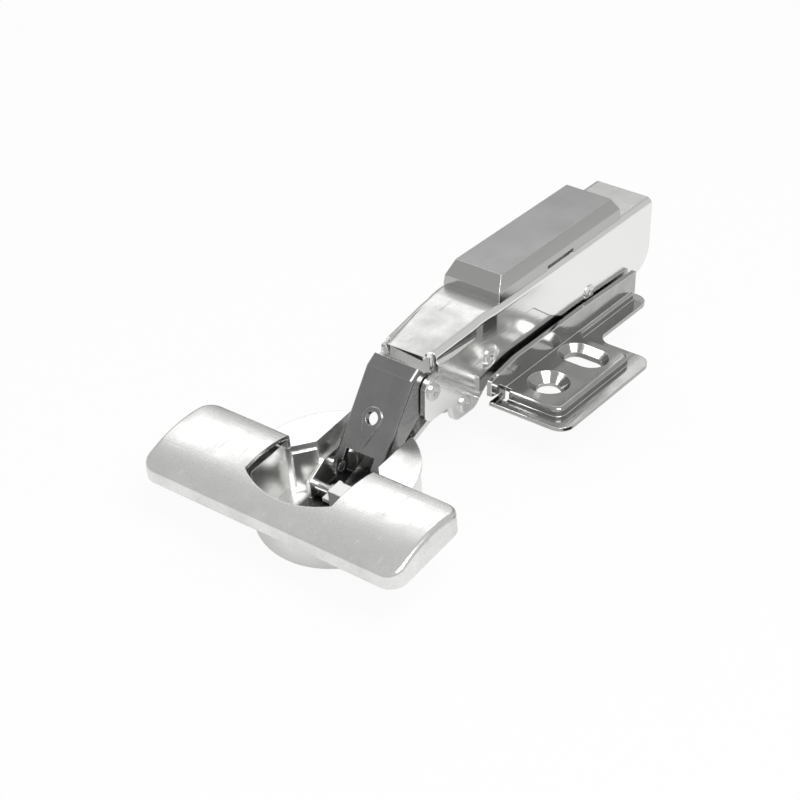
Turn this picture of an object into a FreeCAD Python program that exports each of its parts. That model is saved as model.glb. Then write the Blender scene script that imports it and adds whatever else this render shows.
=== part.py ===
import FreeCAD, Part
import math
import os
import Sketcher
from FreeCAD import Placement, Rotation, Vector

# Soft-close concealed cabinet hinge, drawn open, in millimetres.
# +X points forward to the door, +Y across the cabinet side, +Z away from the cabinet side.
# The origin is on the underside of the mounting plate, midway between its two round screw holes.

doc = FreeCAD.newDocument("concealed_hinge")
sheet = doc.addObject("Spreadsheet::Sheet", "Sizes")

DRIVING_SIZES = {
    # mounting plate
    "plate_sheet": 1.0,
    "plate_height": 2.9,
    "plate_lip": 0.9,
    "plate_front": 11.6,
    "wing_rear": 23.9,
    "wing_half_width": 27.7,
    "far_wing_half_width": 22.6,
    "strip_rear": 46.8,
    "strip_half_width": 13.2,
    "lip_width": 3.4,
    "strip_lip_width": 3.0,
    "far_lip_width": 0.8,
    "plate_corner": 3.4,
    "plateau_corner": 2.4,
    "plateau_edge": 0.9,
    "screw_spacing": 32.0,
    "screw_hole_radius": 2.7,
    "countersink_radius": 4.7,
    "slot_setback": 13.7,
    "slot_length": 9.0,
    "slot_radius": 2.6,
    "slot_flare": 1.5,
    "hole_collar": 1.0,
    "collar_lift": 0.2,
    "rail_height": 8.3,
    "rail_thickness": 1.15,
    "rail_nose": 12.6,
    "rail_nose_height": 6.8,
    "rail_nose_toe": 3.1,
    "rail_taper_start": 3.0,
    "rail_rear_height": 7.4,
    "rail_gap": 0.55,
    "centre_cut_start": 4.0,
    "relief_length": 2.2,
    "relief_width": 1.6,
    # adapter bracket
    "bracket_sheet": 1.2,
    "bracket_front": 0.0,
    "bracket_rear": 44.0,
    "bracket_wall_height": 4.2,
    "bracket_lug_height": 9.6,
    "bracket_lug_half_length": 5.0,
    "bracket_lug_slope": 4.0,
    "slide_clearance": 0.3,
    "bracket_side_gap": 0.4,
    "depth_travel": 1.5,
    # hinge arm
    "arm_sheet": 1.2,
    "arm_half_width": 7.9,
    "arm_rear": 54.0,
    "arm_top": 22.4,
    "arm_bottom": 4.9,
    "arm_rear_corner": 6.0,
    "arm_bend_radius": 1.5,
    "ear_half_width": 7.4,
    "neck_start": 8.6,
    "neck_length": 4.4,
    "web_drop_start": 11.0,
    "web_front": 30.5,
    "web_front_drop": 2.1,
    "neck_bend_radius": 2.6,
    "ear_front": 33.4,
    "ear_top": 16.4,
    "ear_bottom": 6.0,
    "ear_saddle": 24.4,
    "ear_lobe_front": 22.9,
    "ear_lobe_bottom": 1.2,
    "ear_lobe_rear": 15.4,
    "ear_heel": 11.2,
    "ear_corner": 2.7,
    "ear_saddle_radius": 1.2,
    "ear_heel_radius": 4.0,
    "shoulder_height": 1.8,
    "shoulder_half_width": 6.3,
    "shoulder_bevel": 0.5,
    "recess_top": 16.0,
    "recess_front_x": 5.4,
    "recess_knee_x": 12.1,
    "recess_knee_z": 11.0,
    "recess_rear_x": 21.6,
    "recess_rear_z": 6.3,
    "side_recess_depth": 0.5,
    "corner_relief_radius": 1.1,
    "dimple_radius": 2.7,
    "dimple_depth": 0.3,
    # pivots seen from the side
    "outer_arm_pivot_x": 30.6,
    "outer_arm_pivot_z": 12.8,
    "inner_arm_pivot_x": 19.5,
    "inner_arm_pivot_z": 4.1,
    "spring_pivot_x": 10.2,
    "spring_pivot_z": 11.2,
    "tilt_pivot_x": -28.0,
    "tilt_pivot_z": 9.4,
    "outer_cup_pivot_x": 45.63,
    "outer_cup_pivot_z": -2.39,
    "cup_pivot_spread": 5.823,
    "cup_pivot_fall": 1.792,
    # rivets and pins
    "rivet_radius": 1.4,
    "tilt_rivet_radius": 1.6,
    "rivet_head_radius": 1.95,
    "rivet_head_height": 0.7,
    "rivet_dimple_radius": 0.7,
    "rivet_dimple_depth": 0.3,
    "tilt_head_height": 0.25,
    "tilt_dimple_depth": 0.15,
    "cup_pin_radius": 1.1,
    "running_clearance": 0.05,
    # arm cover cap
    "cap_front": 6.9,
    "cap_rear": 41.3,
    "cap_half_width": 7.25,
    "cap_height": 5.5,
    "cap_waist_height": 2.3,
    "cap_waist_inset": 0.2,
    "cap_top_inset": 1.4,
    "cap_end_inset": 2.5,
    "cap_wall": 0.9,
    "cap_edge": 0.35,
    "cap_slot_start": 11.6,
    "cap_slot_length": 10.3,
    "cap_slot_height": 0.9,
    # adjusting screws
    "overlay_screw_x": -8.0,
    "overlay_screw_radius": 2.8,
    "overlay_head_radius": 3.4,
    "overlay_head_height": 1.2,
    "overlay_foot_radius": 2.6,
    "overlay_foot_height": 1.0,
    "overlay_neck_radius": 1.5,
    "overlay_neck_height": 1.8,
    "screw_clearance": 0.35,
    "depth_screw_x": -36.5,
    "depth_head_radius": 3.8,
    "depth_head_height": 1.8,
    "depth_shank_radius": 2.2,
    "depth_tool_hole_radius": 3.2,
    "recess_depth": 1.1,
    "recess_length": 4.4,
    "recess_width": 1.0,
    # damper
    "damper_radius": 3.0,
    "damper_rear": 3.9,
    "damper_front": 12.4,
    "damper_axis_z": 17.2,
    "damper_wall": 0.5,
    "housing_rear": 3.4,
    "housing_front": 8.3,
    "housing_bottom": 14.0,
    "damper_end_wall": 1.0,
    "damper_plug_length": 2.0,
    "damper_rod_radius": 1.0,
    "damper_rod_reach": 7.0,
    "damper_head_radius": 1.9,
    "damper_head_length": 1.6,
    "damper_stroke": 2.4,
    "piston_length": 3.0,
    "piston_clearance": 0.05,
    # closing spring
    "spring_wire": 0.9,
    "spring_turns": 5.0,
    "spring_pitch": 1.05,
    "spring_clearance": 0.12,
    "spring_leg_length": 6.4,
    # outer link
    "link_half_width": 5.95,
    "link_sheet": 1.0,
    "link_lobe_radius": 3.0,
    "link_web_top_x": 35.9,
    "link_web_top_z": 17.4,
    "link_web_foot_x": 46.9,
    "link_web_foot_z": 0.9,
    "link_brow_x": 33.3,
    "link_brow_z": 19.0,
    "link_hole_radius": 1.45,
    "link_foot_radius": 2.1,
    "link_waist_x": 38.0,
    "link_waist_z": 4.4,
    "teardrop_start": 0.27,
    "teardrop_hole": 0.50,
    "teardrop_tip": 0.82,
    "teardrop_half_width": 2.35,
    "teardrop_tip_half_width": 0.45,
    "teardrop_rise": 0.35,
    # inner link
    "inner_half_width": 3.2,
    "inner_thickness": 1.3,
    "inner_eye_radius": 1.75,
    "inner_open_radius": 2.75,
    "inner_open_wall": 0.75,
    "inner_throat_back": 1.8,
    "inner_throat_drop": 1.2,
    "inner_neck_back": 4.3,
    "inner_neck_drop": 1.3,
    "link_foot_notch": 2.35,
    "link_notch_gap": 0.35,
    # cup
    "cup_pin_setback": 19.172,
    "cup_pin_depth": 10.2,
    "cup_tilt": 7.0,
    "drum_centre": 11.16,
    "drum_radius": 17.4,
    "rim_radius": 17.9,
    "drum_depth": 11.8,
    "cup_sheet": 0.8,
    "flange_drop": 3.25,
    "flange_thickness": 0.9,
    "flange_hole_spacing": 48.0,
    "flange_hole_setback": 6.0,
    "flange_hole_radius": 2.2,
    "mouth_half_width": 13.2,
    "mouth_front": 4.4,
    "mouth_rear": 0.6,
    "facet_front_setback": 0.3,
    "facet_half_width": 11.6,
    "facet_setback": 4.7,
    "channel_half_width": 7.9,
    "channel_sill": 2.1,
    "channel_ramp_start": 16.7,
    "channel_ramp_end": 11.5,
    "channel_ramp_drop": 3.7,
    "slot_margin": 0.4,
    "slot_sill": 9.5,
    "sill_end": 14.4,
    "sill_slope": 3.0,
    "bowl_round": 2.4,
    "pad_rise": 0.35,
    "pad_margin": 0.25,
    "pad_top_gap": 0.95,
    "pad_height": 9.2,
    "cheek_half_width": 8.2,
    "cheek_front": 1.9,
    "insert_rear": 2.85,
    "insert_length": 3.6,
    "insert_level": 9.3,
    "insert_sheet": 0.9,
    "insert_near": 1.6,
    "insert_width": 5.2,
    "insert_tab_drop": 3.6,
    "insert_tab_length": 3.0,
    "insert_tab_width": 2.6,
    "cheek_thickness": 0.9,
    "cheek_margin": 2.6,
    # cup cover
    "cover_half_length": 32.4,
    "cover_half_width": 11.25,
    "cover_back_rise": 1.37,
    "cover_crown": 2.1,
    "cover_wall": 0.8,
    "cover_corner": 3.6,
    "cover_edge": 1.1,
    "cover_seat_gap": 0.2,
    "cover_fit": 0.05,
    "rim_gap": 0.3,
    "notch_half_width": 11.0,
    "notch_reach": 2.6,
    "notch_bow": 3.4,
}

SHEET_NAME_COLUMN = "A"
SHEET_VALUE_COLUMN = "B"


class Size:
    """A length with its number and the sheet expression that gives it."""

    def __init__(self, value, text):
        self.value = float(value)
        self.text = text

    def __add__(self, other):
        other = as_size(other)
        return Size(self.value + other.value, "(%s + %s)" % (self.text, other.text))

    __radd__ = __add__

    def __sub__(self, other):
        other = as_size(other)
        return Size(self.value - other.value, "(%s - %s)" % (self.text, other.text))

    def __rsub__(self, other):
        return as_size(other) - self

    def __mul__(self, other):
        other = as_size(other)
        return Size(self.value * other.value, "(%s * %s)" % (self.text, other.text))

    __rmul__ = __mul__

    def __truediv__(self, other):
        other = as_size(other)
        return Size(self.value / other.value, "(%s / %s)" % (self.text, other.text))

    def __neg__(self):
        return Size(-self.value, "(-1 * %s)" % self.text)


def as_size(number):
    """Give a plain number the form of a Size."""
    if isinstance(number, Size):
        return number
    return Size(number, "%r" % number)


def root(size):
    return Size(math.sqrt(size.value), "sqrt(%s)" % size.text)


def cosine(degrees_size):
    value = math.cos(math.radians(degrees_size.value))
    return Size(value, "cos(%s * 1 deg)" % degrees_size.text)


def sine(degrees_size):
    value = math.sin(math.radians(degrees_size.value))
    return Size(value, "sin(%s * 1 deg)" % degrees_size.text)


class SizeBook:
    """The driving sizes by name, each one tied to its cell."""

    def __init__(self, entries):
        for row, (alias, number) in enumerate(entries.items(), start=1):
            sheet.set("%s%d" % (SHEET_NAME_COLUMN, row), alias)
            sheet.set("%s%d" % (SHEET_VALUE_COLUMN, row), str(number))
            sheet.setAlias("%s%d" % (SHEET_VALUE_COLUMN, row), alias)
            setattr(self, alias, Size(number, "Sizes.%s" % alias))


S = SizeBook(DRIVING_SIZES)
doc.recompute()
ZERO = as_size(0)
FAR = as_size(80)
TOUCH = 0.02


def new_body(label):
    body = doc.addObject("PartDesign::Body", label)
    body.Label = label
    return body


def origin_feature(body, role):
    return [item for item in body.Origin.OriginFeatures if item.Role == role][0]


def pin_point(sketch, geometry, end, point):
    """Hold one end of a line or arc at its sized place."""
    for kind, axis, size in (("DistanceX", -2, point[0]), ("DistanceY", -1, point[1])):
        if size.value == 0:
            sketch.addConstraint(Sketcher.Constraint("PointOnObject", geometry, end, axis))
            continue
        index = sketch.addConstraint(Sketcher.Constraint(kind, -1, 1, geometry, end, size.value))
        sketch.setExpression("Constraints[%d]" % index, size.text)


def draw_loop(sketch, corners):
    """Draw a closed outline. A corner is (x, y), or (x, y, (mid x, mid y)) where an arc follows."""
    points = [tuple(as_size(number) for number in corner[:2]) for corner in corners]
    first = sketch.GeometryCount
    for index, corner in enumerate(corners):
        start = Vector(points[index][0].value, points[index][1].value, 0)
        follower = points[(index + 1) % len(points)]
        stop = Vector(follower[0].value, follower[1].value, 0)
        if len(corner) > 2:
            middle = tuple(as_size(number) for number in corner[2])
            through = Vector(middle[0].value, middle[1].value, 0)
            arc = Part.Arc(start, through, stop)
            sketch.addGeometry(arc, False)
        else:
            sketch.addGeometry(Part.LineSegment(start, stop), False)
    for index, corner in enumerate(corners):
        here = first + index
        after = first + (index + 1) % len(points)
        here_end = 2
        after_start = 1
        if len(corner) > 2 and arc_is_clockwise(points[index], corner[2], points[(index + 1) % len(points)]):
            here_end = 1
        following = corners[(index + 1) % len(points)]
        if len(following) > 2:
            ahead = points[(index + 2) % len(points)]
            if arc_is_clockwise(points[(index + 1) % len(points)], following[2], ahead):
                after_start = 2
        sketch.addConstraint(Sketcher.Constraint("Coincident", here, here_end, after, after_start))
        start_end = 1
        if len(corner) > 2 and arc_is_clockwise(points[index], corner[2], points[(index + 1) % len(points)]):
            start_end = 2
        pin_point(sketch, here, start_end, points[index])
        if len(corner) > 2:
            middle = tuple(as_size(number) for number in corner[2])
            mark = sketch.addGeometry(Part.Point(Vector(middle[0].value, middle[1].value, 0)), True)
            pin_point(sketch, mark, 1, middle)
            sketch.addConstraint(Sketcher.Constraint("PointOnObject", mark, 1, here))


def arc_is_clockwise(start, middle, stop):
    first = (as_size(middle[0]).value - start[0].value, as_size(middle[1]).value - start[1].value)
    second = (stop[0].value - start[0].value, stop[1].value - start[1].value)
    return first[0] * second[1] - first[1] * second[0] < 0


def draw_circle(sketch, x, y, radius):
    x, y, radius = as_size(x), as_size(y), as_size(radius)
    centre = Vector(x.value, y.value, 0)
    index = sketch.addGeometry(Part.Circle(centre, Vector(0, 0, 1), radius.value), False)
    pin_point(sketch, index, 3, (x, y))
    ring = sketch.addConstraint(Sketcher.Constraint("Radius", index, radius.value))
    sketch.setExpression("Constraints[%d]" % ring, radius.text)


def new_sketch(body, role, level=ZERO):
    """Start a sketch on an origin plane of the body, moved along the plane's own normal."""
    sketch = body.newObject("Sketcher::SketchObject", "%s_sketch" % body.Label)
    sketch.AttachmentSupport = [(origin_feature(body, role), "")]
    sketch.MapMode = "FlatFace"
    level = as_size(level)
    if level.value != 0:
        sketch.AttachmentOffset = Placement(Vector(0, 0, level.value), Rotation())
        sketch.setExpression("AttachmentOffset.Base.z", level.text)
    return sketch


def add_feature(body, kind, sketch, length, both_ways, reverse):
    feature = body.newObject(kind, "%s_%s" % (body.Label, kind.split("::")[1].lower()))
    feature.Profile = sketch
    length = as_size(length)
    feature.Length = length.value
    feature.setExpression("Length", length.text)
    feature.SideType = "Symmetric" if both_ways else "One side"
    feature.Reversed = reverse
    doc.recompute()
    return feature


def pad(body, sketch, length, both_ways=False, reverse=False):
    return add_feature(body, "PartDesign::Pad", sketch, length, both_ways, reverse)


def pocket(body, sketch, length, both_ways=False, reverse=False):
    before = body.Shape.Volume
    feature = add_feature(body, "PartDesign::Pocket", sketch, length, both_ways, reverse)
    if body.Shape.Volume >= before:
        raise ValueError("%s: a pocket cut nothing" % body.Label)
    return feature


def side_pad(body, corners, width):
    """Pad an outline seen from the side, half to each side of the middle."""
    sketch = new_sketch(body, "XZ_Plane")
    draw_loop(sketch, corners)
    return pad(body, sketch, width, both_ways=True)


def side_pocket(body, corners, width):
    sketch = new_sketch(body, "XZ_Plane")
    draw_loop(sketch, corners)
    return pocket(body, sketch, width, both_ways=True)


def side_holes(body, circles, width):
    sketch = new_sketch(body, "XZ_Plane")
    for x, z, radius in circles:
        draw_circle(sketch, x, z, radius)
    return pocket(body, sketch, width, both_ways=True)


def level_pad(body, loops, bottom, height):
    """Pad outlines seen from above, from one level up by a height."""
    sketch = new_sketch(body, "XY_Plane", bottom)
    for corners in loops:
        draw_loop(sketch, corners)
    return pad(body, sketch, height)


def level_pocket(body, loops, bottom, height):
    sketch = new_sketch(body, "XY_Plane", bottom)
    for corners in loops:
        draw_loop(sketch, corners)
    return pocket(body, sketch, height, reverse=True)


def mirrored(corners):
    """The same outline on the other side of the middle line."""
    return [(corner[0], -as_size(corner[1])) + mirrored_middle(corner) for corner in corners]


def mirrored_middle(corner):
    if len(corner) < 3:
        return ()
    return ((corner[2][0], -as_size(corner[2][1])),)


def box_corners(x_low, x_high, y_low, y_high):
    return [(x_low, y_low), (x_high, y_low), (x_high, y_high), (x_low, y_high)]


def edges_along(shape, axis, places):
    """Names of the straight edges along an axis whose other two coordinates match a place."""
    others = [index for index in range(3) if index != axis]
    names = []
    for number, edge in enumerate(shape.Edges, start=1):
        if len(edge.Vertexes) != 2:
            continue
        first, last = edge.Vertexes[0].Point, edge.Vertexes[1].Point
        if abs(first[axis] - last[axis]) < TOUCH:
            continue
        for place in places:
            gaps = [abs(point[other] - as_size(size).value)
                    for point in (first, last) for other, size in zip(others, place)]
            if max(gaps) < TOUCH:
                names.append("Edge%d" % number)
    return names


def edges_where(shape, test):
    return ["Edge%d" % number for number, edge in enumerate(shape.Edges, start=1) if test(edge)]


def dress(body, kind, names, size, key):
    """Round or bevel named edges of the body's last feature."""
    if not names:
        raise ValueError("%s: no edge found to dress" % body.Label)
    base = body.Tip
    feature = body.newObject(kind, "%s_%s" % (body.Label, kind.split("::")[1].lower()))
    feature.Base = (base, names)
    size = as_size(size)
    setattr(feature, key, size.value)
    feature.setExpression(key, size.text)
    doc.recompute()
    return feature


def soften(body, names, radius):
    return dress(body, "PartDesign::Fillet", names, radius, "Radius")


def bevel(body, names, size):
    return dress(body, "PartDesign::Chamfer", names, size, "Size")


def turn(body, profile):
    """Turn an outline of (radius, height) points about the body's Z axis."""
    sketch = new_sketch(body, "XZ_Plane")
    draw_loop(sketch, profile)
    feature = body.newObject("PartDesign::Revolution", "%s_turned" % body.Label)
    feature.Profile = sketch
    feature.ReferenceAxis = (origin_feature(body, "Z_Axis"), [""])
    feature.Angle = 360.0
    doc.recompute()
    return feature


def place(thing, x, y, z, rotation=Rotation()):
    """Put a body at a sized place."""
    spot = [as_size(number) for number in (x, y, z)]
    thing.Placement = Placement(Vector(*[size.value for size in spot]), rotation)
    for letter, size in zip("xyz", spot):
        thing.setExpression("Placement.Base.%s" % letter, size.text)


ACROSS = Rotation(Vector(1, 0, 0), -90)
FORWARD = Rotation(Vector(0, 1, 0), 90)
X_AXIS, Y_AXIS, Z_AXIS = range(3)


# Sizes that follow from the driving ones
HALF_SCREW_SPACING = S.screw_spacing / 2
RAIL_INNER = S.arm_half_width + S.rail_gap
RAIL_OUTER = RAIL_INNER + S.rail_thickness
ARM_INNER = S.arm_half_width - S.arm_sheet
EAR_INNER = S.ear_half_width - S.arm_sheet
BRACKET_FLOOR = S.plate_height + S.slide_clearance
BRACKET_FLOOR_TOP = BRACKET_FLOOR + S.bracket_sheet
BRACKET_HALF_WIDTH = ARM_INNER - S.bracket_side_gap
BRACKET_INNER = BRACKET_HALF_WIDTH - S.bracket_sheet
WEB_UNDER = S.arm_top - S.arm_sheet
WEB_FRONT_TOP = S.arm_top - S.web_front_drop
WEB_FRONT_UNDER = WEB_FRONT_TOP - S.arm_sheet
OUTER_PIN_ALONG, OUTER_PIN_UP = -S.cup_pin_setback, -S.cup_pin_depth
INNER_PIN_ALONG, INNER_PIN_UP = OUTER_PIN_ALONG + S.cup_pivot_spread, OUTER_PIN_UP - S.cup_pivot_fall
CUP_X = S.outer_cup_pivot_x - OUTER_PIN_ALONG * cosine(S.cup_tilt) - OUTER_PIN_UP * sine(S.cup_tilt)
CUP_Z = S.outer_cup_pivot_z + OUTER_PIN_ALONG * sine(S.cup_tilt) - OUTER_PIN_UP * cosine(S.cup_tilt)
INNER_CUP_PIVOT_X = CUP_X + INNER_PIN_ALONG * cosine(S.cup_tilt) + INNER_PIN_UP * sine(S.cup_tilt)
INNER_CUP_PIVOT_Z = CUP_Z - INNER_PIN_ALONG * sine(S.cup_tilt) + INNER_PIN_UP * cosine(S.cup_tilt)
CAP_BOTTOM = S.arm_top
CAP_TOP = CAP_BOTTOM + S.cap_height


def mounting_plate():
    """Pressed sheet plate: a raised plateau with a lip all round, two wings and two upstanding rails."""
    body = new_body("mounting_plate")
    front, wing_rear, wing, far = S.plate_front, -S.wing_rear, S.wing_half_width, -S.far_wing_half_width
    rear, strip = -S.strip_rear, S.strip_half_width
    outline = [(front, far), (front, wing), (wing_rear, wing), (wing_rear, strip),
               (rear, strip), (rear, -strip), (wing_rear, -strip), (wing_rear, far)]
    level_pad(body, [outline], ZERO, S.plate_lip)
    soften(body, edges_along(body.Shape, Z_AXIS, outline), S.plate_corner)

    edge, strip_edge = S.lip_width, S.strip_lip_width
    far_edge = far + S.far_lip_width
    plateau = [(front - edge, far_edge), (front - edge, wing - edge),
               (wing_rear + edge, wing - edge), (wing_rear + edge, strip - strip_edge),
               (rear + S.plate_sheet, strip - strip_edge), (rear + S.plate_sheet, -strip + strip_edge),
               (wing_rear + edge, -strip + strip_edge), (wing_rear + edge, far_edge)]
    level_pad(body, [plateau], ZERO, S.plate_height)
    soften(body, [name for name in edges_along(body.Shape, Z_AXIS, plateau)], S.plateau_corner)
    top = S.plate_height.value

    def is_top_edge(shape_edge):
        return all(abs(vertex.Z - top) < TOUCH for vertex in shape_edge.Vertexes)

    soften(body, edges_where(body.Shape, is_top_edge), S.plateau_edge)

    inset = S.plate_sheet
    hollow = [(front - edge - inset, far_edge + inset), (front - edge - inset, wing - edge - inset),
              (wing_rear + edge + inset, wing - edge - inset),
              (wing_rear + edge + inset, strip - strip_edge - inset),
              (rear + inset + inset, strip - strip_edge - inset),
              (rear + inset + inset, -strip + strip_edge + inset),
              (wing_rear + edge + inset, -strip + strip_edge + inset),
              (wing_rear + edge + inset, far_edge + inset)]
    level_pocket(body, [hollow], ZERO, S.plate_height - S.plate_sheet)

    rail = [(rear + inset, S.plate_height - inset), (rear + inset, S.rail_rear_height),
            (-S.wing_rear, S.rail_height), (S.rail_taper_start, S.rail_height),
            (S.rail_nose, S.rail_nose_height), (S.rail_nose, S.rail_nose_toe),
            (S.plate_front - S.lip_width - inset, S.plate_height - inset)]
    side_pad(body, rail, 2 * RAIL_OUTER)
    above = [(-FAR, S.plate_height), (FAR, S.plate_height), (FAR, FAR), (-FAR, FAR)]
    side_pocket(body, above, 2 * RAIL_INNER)
    level_pocket(body, [box_corners(S.centre_cut_start, FAR, -RAIL_INNER, RAIL_INNER)], ZERO, FAR)

    relief_rear = S.plate_front - S.lip_width - S.relief_length / 2
    relief = box_corners(relief_rear, relief_rear + S.relief_length,
                         RAIL_OUTER, RAIL_OUTER + S.relief_width)
    level_pocket(body, [relief, mirrored(relief)], ZERO, FAR)

    collar_radius = S.screw_hole_radius + S.hole_collar
    sketch = new_sketch(body, "XY_Plane", S.collar_lift)
    draw_circle(sketch, ZERO, HALF_SCREW_SPACING, S.countersink_radius)
    draw_circle(sketch, ZERO, -HALF_SCREW_SPACING, S.countersink_radius)
    pad(body, sketch, S.plate_height - S.plate_sheet - S.collar_lift + S.hole_collar / 2)
    level_pad(body, [slot_outline(S.slot_flare, 1), slot_outline(ZERO, -1)],
              S.collar_lift, S.plate_height - S.plate_sheet - S.collar_lift + S.hole_collar / 2)
    sketch = new_sketch(body, "XY_Plane")
    draw_circle(sketch, ZERO, HALF_SCREW_SPACING, S.screw_hole_radius)
    draw_circle(sketch, ZERO, -HALF_SCREW_SPACING, S.screw_hole_radius)
    pocket(body, sketch, FAR, reverse=True)
    hole = S.screw_hole_radius.value

    def is_hole_mouth(shape_edge):
        curve = shape_edge.Curve
        is_round = isinstance(curve, Part.Circle) and abs(curve.Radius - hole) < TOUCH
        return is_round and abs(shape_edge.BoundBox.ZMax - top) < TOUCH

    bevel(body, edges_where(body.Shape, is_hole_mouth), S.countersink_radius - S.screw_hole_radius)
    level_pocket(body, [slot_outline(ZERO, 1), slot_outline(ZERO, -1)], ZERO, FAR)
    slot_reach = (S.slot_length / 2).value
    setback = S.slot_setback.value
    slot_wide = S.slot_radius.value

    def is_slot_mouth(shape_edge):
        box = shape_edge.BoundBox
        level = abs(box.ZMin - top) < TOUCH and abs(box.ZMax - top) < TOUCH
        inside_x = abs((box.XMin + box.XMax) / 2 + setback) < slot_wide + TOUCH
        middle = (box.YMin + box.YMax) / 2
        inside_y = abs(middle - HALF_SCREW_SPACING.value) < slot_reach + TOUCH
        return level and inside_x and inside_y

    bevel(body, edges_where(body.Shape, is_slot_mouth), S.slot_flare)
    return body


def slot_outline(spread, side):
    """A slot across the hinge, rounded at both ends, about its place on one wing."""
    radius = S.slot_radius + spread
    centre_x = -S.slot_setback
    near = side * HALF_SCREW_SPACING - (S.slot_length / 2 - S.slot_radius)
    far = side * HALF_SCREW_SPACING + (S.slot_length / 2 - S.slot_radius)
    return [(centre_x + radius, near), (centre_x + radius, far, (centre_x, far + radius)),
            (centre_x - radius, far), (centre_x - radius, near, (centre_x, near - radius))]


def adapter_bracket():
    """Channel that slides on the plate for depth and carries the arm on its tilt rivet."""
    body = new_body("adapter_bracket")
    floor, wall = BRACKET_FLOOR, BRACKET_FLOOR + S.bracket_wall_height
    lug_top = BRACKET_FLOOR + S.bracket_lug_height
    lug_front = S.tilt_pivot_x + S.bracket_lug_half_length
    lug_rear = S.tilt_pivot_x - S.bracket_lug_half_length
    profile = [(-S.bracket_rear, floor), (S.bracket_front, floor), (S.bracket_front, wall),
               (lug_front + S.bracket_lug_slope, wall), (lug_front, lug_top), (lug_rear, lug_top),
               (lug_rear - S.bracket_lug_slope, wall), (-S.bracket_rear, wall)]
    side_pad(body, profile, 2 * BRACKET_HALF_WIDTH)
    soften(body, edges_along(body.Shape, Y_AXIS, [(lug_front, lug_top), (lug_rear, lug_top)]),
           S.tilt_rivet_radius)
    above = [(-FAR, BRACKET_FLOOR_TOP), (FAR, BRACKET_FLOOR_TOP), (FAR, FAR), (-FAR, FAR)]
    side_pocket(body, above, 2 * BRACKET_INNER)
    side_holes(body, [(S.tilt_pivot_x, S.tilt_pivot_z, S.tilt_rivet_radius + S.running_clearance)], FAR)
    sketch = new_sketch(body, "XY_Plane")
    draw_circle(sketch, S.depth_screw_x, ZERO, S.depth_shank_radius + S.running_clearance)
    draw_circle(sketch, S.overlay_screw_x, ZERO, S.overlay_neck_radius + S.running_clearance)
    pocket(body, sketch, FAR, reverse=True)
    return body


def plate_cut_for_depth_screw(plate):
    """Slot in the plate's strip along which the depth screw's shank travels."""
    radius = S.depth_shank_radius + S.screw_clearance
    reach = S.depth_travel
    x = S.depth_screw_x
    outline = [(x + reach, -radius, (x + reach + radius, ZERO)), (x + reach, radius),
               (x - reach, radius, (x - reach - radius, ZERO)), (x - reach, -radius)]
    level_pocket(plate, [outline], ZERO, FAR)


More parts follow.
